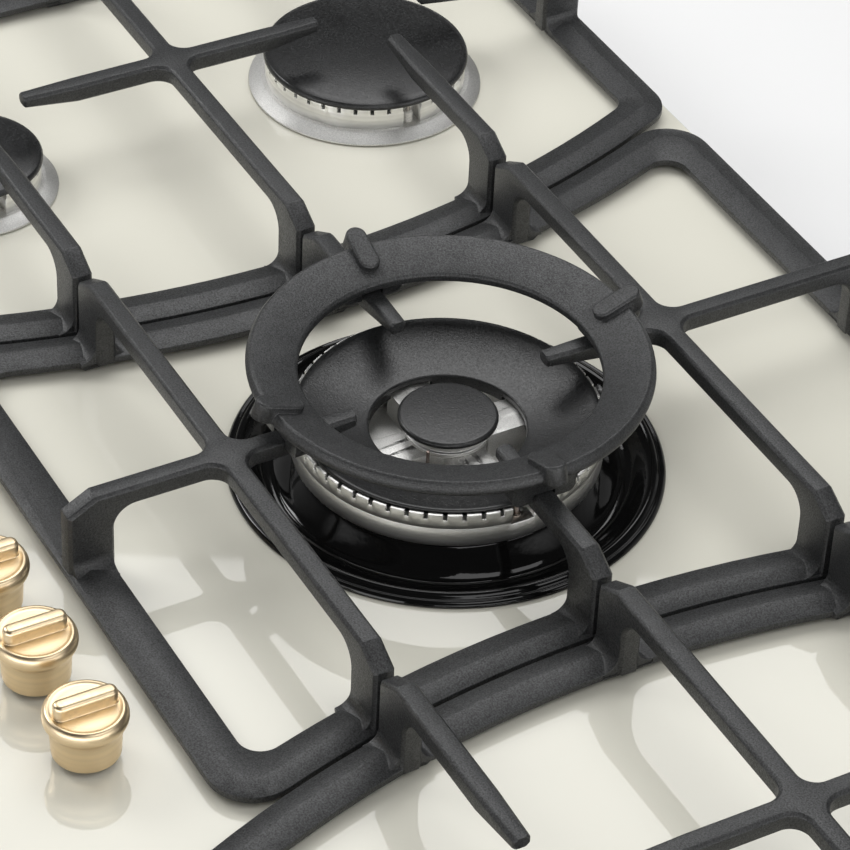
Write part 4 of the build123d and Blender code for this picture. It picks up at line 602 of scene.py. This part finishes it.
def zinc_finish(slot, size, roughness):
    """Zinc-coated sheet or screw with crystals of a given size."""
    colour = record_colour(slot)
    tree, inputs = new_finish(slot, colour, roughness, 1.0)
    spot = place(tree)
    zinc = use(tree, "Zinc spangle", Vector=spot, Size=size)
    feed(tree, inputs["Base Color"], blend(tree, zinc["Shade"], shade(colour, 0.72), shade(colour, 1.15)))
    feed(tree, inputs["Roughness"], spread(tree, zinc["Shade"], 0.0, 1.0, roughness - 0.08, roughness + 0.12))
    press(tree, inputs, zinc["Height"], 0.00005)


def drawn_metal_finish(slot, roughness, tarnish):
    """Drawn or machined metal with tool lines and a slow tarnish."""
    colour = record_colour(slot)
    tree, inputs = new_finish(slot, colour, roughness, 1.0)
    spot = place(tree)
    grain = use(tree, "Cast grain", Vector=spot, Size=0.0004)
    age = use(tree, "Wipe marks", Vector=spot, Size=0.02)["Mask"]
    tone = blend(tree, age, shade(colour, 1.05), shade(colour, tarnish))
    feed(tree, inputs["Base Color"], tone)
    feed(tree, inputs["Roughness"], spread(tree, age, 0.0, 1.0, roughness - 0.06, roughness + 0.14))
    press(tree, inputs, grain["Height"], 0.00002)


def moulded_finish(slot, roughness, size, depth):
    """Moulded plastic, rubber, foam or ceramic with a fine texture."""
    colour = record_colour(slot)
    tree, inputs = new_finish(slot, colour, roughness)
    spot = place(tree)
    grain = use(tree, "Cast grain", Vector=spot, Size=size)
    tone = blend(tree, grain["Speck"], shade(colour, 0.85), shade(colour, 1.15))
    feed(tree, inputs["Base Color"], dusted(tree, spot, tone, 0.0009, 0.15, PLASTIC_DUST))
    matte, sheen = roughness - 0.08, roughness + 0.08
    feed(tree, inputs["Roughness"], spread(tree, grain["Speck"], 0.0, 1.0, matte, sheen))
    press(tree, inputs, grain["Height"], depth)


def probe_finish(slot):
    """Steel sheath, blued and straw-coloured by heat towards its tip."""
    colour = record_colour(slot)
    tree, inputs = new_finish(slot, colour, 0.35, 1.0)
    spot = place(tree)
    height = parts_of(tree, spot)["Z"]
    heated = spread(tree, height, GLASS_TOP + HEAT_START, GLASS_TOP + HEAT_END)
    mottle = noise(tree, spot, 700.0, 3.0)
    tint = blend(tree, mottle, (0.46, 0.33, 0.20, 1.0), (0.25, 0.24, 0.30, 1.0))
    feed(tree, inputs["Base Color"], blend(tree, heated, shade(colour, 1.0), tint))
    feed(tree, inputs["Roughness"], spread(tree, mottle, 0.3, 0.7, 0.28, 0.45))
    press(tree, inputs, mottle, 0.00002)


def paint_nodes():
    """Gives every CAD node the finish of its slot."""
    for name, piece in frame["nodes"].items():
        for held in piece.material_slots:
            held.material = bpy.data.materials[node_slot(name)]


# ------------------------------------------------------------------ sizes and colours a user may change
def colour_property(name, description, default):
    """Colour property."""
    return FloatVectorProperty(
        name=name, description=description, default=default, size=3, subtype="COLOR", min=0.0, max=1.0
    )


def length_property(name, description, default):
    """Length property, given in millimetres."""
    return FloatProperty(
        name=name, description=description, default=default * MM, min=0.0, subtype="DISTANCE",
        unit="LENGTH", precision=5,
    )


class GlassSettings(bpy.types.PropertyGroup):
    """Glass top."""
    colour: colour_property("Back coat", "Colour of the coat seen through the glass", (0.69, 0.675, 0.59))
    edge_colour: colour_property("Edge", "Tint of the polished edge", (0.24, 0.32, 0.26))


class IronSettings(bpy.types.PropertyGroup):
    """Pan supports and wok ring."""
    colour: colour_property("Enamel", "Colour of the enamel on the iron", (0.017, 0.0175, 0.018))
    edge_round: length_property("Edge rounding", "How far the casting's edges are rounded", 0.3)
    grain_size: length_property("Grain size", "Size of the casting's grain", 0.75)
    grain_depth: length_property("Grain depth", "Depth of the casting's grain", 0.13)
    # The paler edges are partly enamel rubbing thin and partly a painted highlight along the edges.
    wear_and_highlight_width: length_property("Wear width", "How far the wear reaches from an edge", 0.9)
    wear_and_highlight: FloatProperty(name="Wear", description="How pale the worn edges are", default=0.5, min=0.0, max=1.0)


class BurnerSettings(bpy.types.PropertyGroup):
    """Burners and drip bowl."""
    cap_colour: colour_property("Caps", "Colour of the satin enamel caps", (0.011, 0.0113, 0.0115))
    bowl_colour: colour_property("Bowl", "Colour of the gloss enamel bowl", (0.004, 0.004, 0.004))
    metal_colour: colour_property("Aluminium", "Colour of the bare aluminium", (0.88, 0.875, 0.85))
    edge_round: length_property("Edge rounding", "How far the metal's edges are rounded", 0.25)
    steps: IntProperty(
        name="Steps", description="Faces round a turned piece before smoothing", default=64, min=24, max=128
    )


class KnobSettings(bpy.types.PropertyGroup):
    """Knobs."""
    colour: colour_property("Bronze", "Colour of the knobs", (0.80, 0.64, 0.42))
    grip_length: length_property("Grip length", "Length of the raised grip", 27.0)
    grip_width: length_property("Grip width", "Width of the raised grip", 7.0)
    steps: IntProperty(
        name="Steps", description="Faces round a knob before smoothing", default=32, min=16, max=64
    )


class StageSettings(bpy.types.PropertyGroup):
    """Camera, floor and light."""
    azimuth: FloatProperty(
        name="Azimuth", description="Camera's angle round the hob", default=math.radians(59.866),
        subtype="ANGLE", unit="ROTATION",
    )
    elevation: FloatProperty(
        name="Elevation", description="Camera's angle above the horizon", default=math.radians(39.040),
        subtype="ANGLE", unit="ROTATION",
    )
    roll: FloatProperty(
        name="Roll", description="Camera's turn about its own axis", default=math.radians(2.773),
        subtype="ANGLE", unit="ROTATION",
    )
    distance: length_property("Distance", "From the camera to its target", 1592.04)
    lens: FloatProperty(name="Lens", description="Focal length in millimetres", default=154.95, min=10.0)
    background: colour_property("Background", "Colour of the floor and backdrop", (0.80, 0.80, 0.80))
    overhead: FloatProperty(name="Overhead", description="Power of the lamp behind", default=9.2, min=0.0)
    side: FloatProperty(name="Side", description="Power of the low side lamp", default=6.0, min=0.0)
    front: FloatProperty(name="Front", description="Power of the lamp in front", default=2.4, min=0.0)
    room: FloatProperty(
        name="Room", description="Brightness of the room in front, in reflections", default=4.0, min=0.0
    )
    sky: FloatProperty(name="Sky", description="Strength of the even light", default=0.5, min=0.0)


# ------------------------------------------------------------------ operators
class HOB_OT_finishes(bpy.types.Operator):
    """Make every finish and paint the nodes of the frame"""
    bl_idname = "hob.finishes"
    bl_label = "Finishes"

    def execute(self, context):
        scene = context.scene
        make_cast_grain()
        make_edge_wear_and_highlight()
        make_turned_lines()
        make_dust()
        make_wipe_marks()
        make_zinc_spangle()
        glass_finish(scene.hob_glass)
        iron_finish(scene.hob_iron)
        cap_finish(scene.hob_burners)
        bowl_finish(scene.hob_burners)
        turned_aluminium_finish(scene.hob_burners)
        cast_aluminium_finish(scene.hob_burners)
        knob_finish(scene.hob_knobs)
        zinc_finish("galvanised_sheet", 0.008, 0.34)
        zinc_finish("zinc_screw", 0.0012, 0.3)
        zinc_finish("rail_steel", 0.003, 0.36)
        drawn_metal_finish("brass", 0.28, 0.7)
        drawn_metal_finish("tube_aluminium", 0.3, 0.8)
        drawn_metal_finish("spindle_steel", 0.24, 0.8)
        moulded_finish("seal_foam", 0.85, 0.0009, 0.0001)
        moulded_finish("silicone", 0.6, 0.0008, 0.00003)
        moulded_finish("black_plastic", 0.5, 0.0005, 0.00003)
        moulded_finish("module_plastic", 0.45, 0.0005, 0.00002)
        moulded_finish("electrode_ceramic", 0.3, 0.0008, 0.00001)
        probe_finish("probe_steel")
        paint_nodes()
        return {"FINISHED"}


class HOB_OT_pan_supports(bpy.types.Operator):
    """Round the edges of the three pan supports"""
    bl_idname = "hob.pan_supports"
    bl_label = "Pan supports"

    def execute(self, context):
        for node in SUPPORTS:
            soft_copy(node, "cast_" + node, context.scene.hob_iron.edge_round)
        return {"FINISHED"}


class HOB_OT_wok_ring(bpy.types.Operator):
    """Round the edges of the loose wok ring"""
    bl_idname = "hob.wok_ring"
    bl_label = "Wok ring"

    def execute(self, context):
        soft_copy("wok_ring", "cast_wok_ring", context.scene.hob_iron.edge_round)
        return {"FINISHED"}


class HOB_OT_wok_bowl(bpy.types.Operator):
    """Turn the drip bowl of the wok burner"""
    bl_idname = "hob.wok_bowl"
    bl_label = "Drip bowl"

    def execute(self, context):
        axis = Vector((WOK_AXIS.x, WOK_AXIS.y, GLASS_TOP))
        upper = [
            (46.0, 9.2), (46.3, 9.2), (62.0, 9.2), (64.4, 9.1), (65.4, 8.6), (66.6, 7.0), (71.6, 0.2),
            (74.2, -2.6), (77.0, -3.1), (80.2, -2.3), (84.4, 1.2), (87.0, 3.6), (88.8, 4.5), (90.1, 4.4),
            (91.1, 3.7), (91.8, 2.7), (92.5, 2.7), (93.2, 3.2), (94.0, 2.7), (94.8, 1.6), (95.0, 0.7),
            (94.7, 0.3),
        ]
        lower = [
            (92.8, 0.3), (92.5, 1.4), (91.2, 2.0), (90.3, 3.1), (89.0, 3.2), (87.4, 2.2), (84.6, -0.2),
            (80.6, -3.4), (77.0, -4.3), (73.6, -3.8), (70.4, -0.6), (65.4, 6.2), (64.2, 7.9), (62.0, 8.0),
            (46.3, 8.0), (46.0, 8.0), (46.0, 9.2),
        ]
        piece = turned("enamel_wok_bowl", upper + lower, axis, context.scene.hob_burners.steps)
        stands_for(piece, "wok_bowl")
        return {"FINISHED"}


class HOB_OT_burner_metal(bpy.types.Operator):
    """Round the edges of the burners' metal and caps"""
    bl_idname = "hob.burner_metal"
    bl_label = "Burner metal and caps"

    def execute(self, context):
        width = context.scene.hob_burners.edge_round
        for node in ("wok_flame_ring", "wok_burner_body", "wok_inner_crown", "side_crowns", "side_cups"):
            soft_copy(node, "metal_" + node, width)
        taper_skirt(bpy.data.objects["metal_wok_flame_ring"])
        for node in ["wok_ring_cap", "wok_inner_cap", *SIDE_CAPS]:
            soft_copy(node, "enamel_" + node, width * CAP_ROUND, segments=3)
        return {"FINISHED"}


def taper_skirt(ring):
    """Draws the top of the flame ring's polished skirt in, so that it leans back a little."""
    pick(ring)
    bpy.ops.object.mode_set(mode="EDIT")
    bpy.ops.mesh.select_all(action="DESELECT")
    leave_edit()
    low, high = GLASS_TOP + SKIRT_LOW * MM, GLASS_TOP + SKIRT_HIGH * MM
    for point in ring.data.vertices:
        outside = (point.co - WOK_AXIS).xy.length > SKIRT_INSIDE_R * MM
        point.select = low < point.co.z < high and outside
    bpy.ops.object.mode_set(mode="EDIT")
    drawn = (SKIRT_DRAW, SKIRT_DRAW, 1.0)
    bpy.ops.transform.resize(value=drawn, center_override=(WOK_AXIS.x, WOK_AXIS.y, 0.0))
    leave_edit()


class HOB_OT_knobs(bpy.types.Operator):
    """Turn one knob with its raised grip and copy it to every spindle"""
    bl_idname = "hob.knobs"
    bl_label = "Knobs"

    def execute(self, context):
        settings = context.scene.hob_knobs
        axis = Vector((0.0, middle(KNOB_NODES[0]).y, GLASS_TOP))
        knob = turned("knob", knob_profile(), axis, settings.steps)
        merge_solid(knob, knob_grip(settings, axis))
        soften(knob, KNOB_ROUND * MM, angle=40.0)
        for node in KNOB_NODES:
            piece = knob.copy()
            piece.data = knob.data.copy()
            piece.name = "turned_" + node
            context.scene.collection.objects.link(piece)
            piece.location.x = middle(node).x
            settle(piece, crease=50.0)
            stands_for(piece, node)
        bpy.data.objects.remove(knob)
        return {"FINISHED"}


def knob_profile():
    """Loop of a knob's section: bore, skirt, rolled rim and shallow face."""
    return [
        (4.0, 4.3), (7.0, 4.3), (7.0, 4.6), (7.0, 16.7), (7.3, 17.0), (11.2, 17.0), (11.5, 16.7), (11.5, 3.5),
        (11.6, 3.2), (13.6, 3.2), (14.0, 3.5), (14.1, 6.0), (14.4, 12.0), (14.9, 16.0), (15.6, 18.2),
        (16.5, 19.0), (17.1, 20.2), (17.4, 22.0), (17.1, 23.8), (16.4, 25.1), (15.4, 25.8), (14.6, 25.8),
        (13.9, 25.4), (12.5, 25.3), (4.0, 25.35), (0.0, 25.4), (0.0, 20.0), (3.7, 20.0), (4.0, 19.7),
        (4.0, 4.6), (4.0, 4.3),
    ]


def knob_grip(settings, axis):
    """Rounded bar across a knob's face."""
    size = (settings.grip_width, settings.grip_length, GRIP_HEIGHT * MM)
    spot = (axis.x, axis.y, axis.z + GRIP_MIDDLE * MM)
    bpy.ops.object.select_all(action="DESELECT")
    bpy.ops.mesh.primitive_cube_add(size=1.0, scale=size, location=spot)
    grip = bpy.context.object
    bpy.ops.object.transform_apply(location=True, rotation=True, scale=True)
    bevel_edges(grip, settings.grip_width * GRIP_END_ROUND, 8, upright_edge)
    top = axis.z + GRIP_TOP_EDGE * MM
    bevel_edges(grip, settings.grip_width * GRIP_TOP_ROUND, 5, lambda a, b: min(a.z, b.z) > top)
    return grip


def upright_edge(a, b):
    """Whether an edge stands upright."""
    return abs(a.z - b.z) > 10 * (a - b).xy.length


def bevel_edges(piece, width, segments, wanted):
    """Bevels the edges whose two ends pass the test."""
    pick(piece)
    bpy.ops.object.mode_set(mode="EDIT")
    bpy.ops.mesh.select_mode(type="EDGE")
    bpy.ops.mesh.select_all(action="DESELECT")
    leave_edit()
    points = piece.data.vertices
    for edge in piece.data.edges:
        first, last = edge.vertices
        edge.select = wanted(points[first].co, points[last].co)
    bpy.ops.object.mode_set(mode="EDIT")
    bpy.ops.mesh.bevel(offset=width, segments=segments, affect="EDGES")
    bpy.ops.mesh.select_mode(type="VERT")
    leave_edit()


def merge_solid(piece, other):
    """Adds the other solid to the piece and removes it."""
    pick(piece)
    union = piece.modifiers.new("union", "BOOLEAN")
    union.operation = "UNION"
    union.solver = "EXACT"
    union.object = other
    bpy.ops.object.modifier_apply(modifier=union.name)
    bpy.data.objects.remove(other)


class HOB_OT_electrodes(bpy.types.Operator):
    """Make the spark electrodes: a glazed ceramic stem with a steel pin"""
    bl_idname = "hob.electrodes"
    bl_label = "Spark electrodes"

    def execute(self, context):
        places = [(WOK_AXIS.x + WOK_SPARK_X * MM, WOK_AXIS.y + WOK_SPARK_Y * MM, *WOK_SPARK_HEIGHTS)]
        for cap in SIDE_CAPS:
            edge_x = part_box(cap)[1].x
            places.append((edge_x - SIDE_SPARK_IN * MM, middle(cap).y, *SIDE_SPARK_HEIGHTS))
        stems = []
        pins = []
        foot = STEM_FOOT_Z * MM - GLASS_TOP
        for x, y, shoulder, tip in places:
            stems.append(tapered_rod(x, y, STEM_R, foot, shoulder * MM, STEM_TAPER))
            pins.append(tapered_rod(x, y, PIN_R, (shoulder - PIN_SUNK) * MM, tip * MM, PIN_TAPER))
        stem = join_all(stems, "fired_spark_stems")
        pin = join_all(pins, "fired_spark_pins")
        stands_for(stem, "spark_electrodes")
        stands_for(pin, "spark_electrodes", bpy.data.materials["probe_steel"])
        return {"FINISHED"}


def tapered_rod(x, y, radius, low, high, taper):
    """Upright rod between two heights above the glass, with a tapered end."""
    bpy.ops.object.select_all(action="DESELECT")
    spot = (x, y, GLASS_TOP + (low + high) / 2.0)
    bpy.ops.mesh.primitive_cylinder_add(vertices=24, radius=radius * MM, depth=high - low, location=spot)
    piece = bpy.context.object
    bpy.ops.object.transform_apply(location=True, rotation=True, scale=True)
    top = GLASS_TOP + high
    width = radius * MM * taper
    bevel_edges(piece, width, 3, lambda a, b: min(a.z, b.z) > top - 0.01 * MM)
    return piece


def join_all(pieces, name):
    """One object from several."""
    bpy.ops.object.select_all(action="DESELECT")
    for piece in pieces:
        piece.select_set(True)
    bpy.context.view_layer.objects.active = pieces[0]
    bpy.ops.object.join()
    pieces[0].name = name
    settle(pieces[0], crease=40.0)
    return pieces[0]


class HOB_OT_stage(bpy.types.Operator):
    """Set the camera, the floor and the lamps"""
    bl_idname = "hob.stage"
    bl_label = "Stage"

    def execute(self, context):
        settings = context.scene.hob_stage
        set_camera(context.scene, settings)
        lay_floor(settings)
        set_sky(context.scene, settings)
        for name, turn, height, distance, size in LAMPS:
            towards = direction(settings.azimuth + turn, math.radians(height))
            hang_lamp(name, towards, distance, size, getattr(settings, name))
        context.scene.view_settings.view_transform = "Standard"
        return {"FINISHED"}


def direction(azimuth, elevation):
    """Unit vector from the hob, with azimuth 0 towards the user."""
    flat = math.cos(elevation)
    return Vector((math.sin(azimuth) * flat, -math.cos(azimuth) * flat, math.sin(elevation)))


def set_camera(scene, settings):
    """Camera on its target with its own roll."""
    back = direction(settings.azimuth, settings.elevation)
    level = Vector((math.cos(settings.azimuth), math.sin(settings.azimuth), 0.0))
    upright = back.cross(level)
    right = level * math.cos(settings.roll) + upright * math.sin(settings.roll)
    up = upright * math.cos(settings.roll) - level * math.sin(settings.roll)
    bpy.ops.object.camera_add()
    camera = bpy.context.object
    camera.name = "camera"
    turn = Matrix((right, up, back)).transposed().to_4x4()
    camera.matrix_world = Matrix.Translation(AIM + back * settings.distance) @ turn
    camera.data.lens = settings.lens
    camera.data.sensor_width = 36.0
    camera.data.clip_start = 0.05
    camera.data.clip_end = 50.0
    scene.camera = camera


def set_sky(scene, settings):
    """Even light, with the pale background only in what the camera, gloss and glass see."""
    world = bpy.data.worlds.new("sky")
    scene.world = world
    world.use_nodes = True
    tree = world.node_tree
    tree.nodes.clear()
    rays = tree.nodes.new("ShaderNodeLightPath")
    x, y, up = parts_of(tree, tree.nodes.new("ShaderNodeTexCoord").outputs["Generated"])
    across = maths(tree, "MULTIPLY", x, math.sin(settings.azimuth))
    facing = maths(tree, "MULTIPLY_ADD", y, -math.cos(settings.azimuth), across)
    gloss = spread(tree, up, *SKY_FADE, *SKY_GLOSS)
    low = spread(tree, up, *ROOM_FADE, settings.room, 0.0)
    room = maths(tree, "MULTIPLY", low, spread(tree, facing, *ROOM_WIDTH))
    gloss = maths(tree, "MAXIMUM", gloss, room)
    seen = maths(tree, "MAXIMUM", rays.outputs["Is Camera Ray"], rays.outputs["Is Transmission Ray"])
    lit = between(tree, rays.outputs["Is Glossy Ray"], settings.sky, gloss)
    glow = tree.nodes.new("ShaderNodeBackground")
    feed(tree, glow.inputs["Strength"], between(tree, seen, lit, 1.0))
    feed(tree, glow.inputs["Color"], blend(tree, seen, (1.0, 1.0, 1.0, 1.0), (*settings.background, 1.0)))
    feed(tree, tree.nodes.new("ShaderNodeOutputWorld").inputs[0], glow.outputs[0])


def lay_floor(settings):
    """Pale floor just under the lowest part of the hob."""
    bpy.ops.object.select_all(action="DESELECT")
    bpy.ops.mesh.primitive_plane_add(size=FLOOR_SIZE, location=(0.0, 0.0, cad_low.z - FLOOR_GAP * MM))
    floor = bpy.context.object
    floor.name = "floor"
    settle(floor)
    tree, inputs = new_finish("floor", settings.background, 0.9)
    inputs["Specular IOR Level"].default_value = 0.1
    cloud = noise(tree, place(tree), 3.0, 2.0)
    tone = blend(tree, cloud, shade(settings.background, 0.99), shade(settings.background, 1.01))
    feed(tree, inputs["Base Color"], tone)
    floor.data.materials.append(bpy.data.materials["floor"])


def hang_lamp(name, towards, distance, size, power):
    """Soft lamp, width by height, that faces the hob from a direction."""
    bpy.ops.object.light_add(type="AREA")
    lamp = bpy.context.object
    lamp.name = name
    lamp.data.shape = "RECTANGLE"
    lamp.data.size = size[0]
    lamp.data.size_y = size[1]
    lamp.data.energy = power
    lamp.location = AIM + towards * distance
    lamp.rotation_mode = "QUATERNION"
    lamp.rotation_quaternion = (-towards).to_track_quat("-Z", "Y")


class HOB_PT_panel(bpy.types.Panel):
    """Sidebar panel with the sizes, colours and steps"""
    bl_label = "Gas Hob"
    bl_space_type = "VIEW_3D"
    bl_region_type = "UI"
    bl_category = "Gas Hob"

    def draw(self, context):
        for name in SETTINGS:
            box = self.layout.box()
            settings = getattr(context.scene, name)
            for label in settings.__annotations__:
                box.prop(settings, label)
        for step in STEPS:
            self.layout.operator(step.bl_idname)


SETTINGS = {
    "hob_glass": GlassSettings,
    "hob_iron": IronSettings,
    "hob_burners": BurnerSettings,
    "hob_knobs": KnobSettings,
    "hob_stage": StageSettings,
}
STEPS = [
    HOB_OT_finishes, HOB_OT_pan_supports, HOB_OT_wok_ring, HOB_OT_wok_bowl, HOB_OT_burner_metal,
    HOB_OT_electrodes, HOB_OT_knobs, HOB_OT_stage,
]
CLASSES = [*SETTINGS.values(), *STEPS, HOB_PT_panel]


def register():
    """Adds the classes and the scene's settings."""
    for item in CLASSES:
        bpy.utils.register_class(item)
    for name, kind in SETTINGS.items():
        setattr(bpy.types.Scene, name, PointerProperty(type=kind))


def unregister():
    """Removes the scene's settings and the classes."""
    for name in SETTINGS:
        delattr(bpy.types.Scene, name)
    for item in reversed(CLASSES):
        bpy.utils.unregister_class(item)


def main():
    """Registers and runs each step."""
    register()
    for step in STEPS:
        group, name = step.bl_idname.split(".")
        getattr(getattr(bpy.ops, group), name)()


if __name__ == "__main__":
    main()
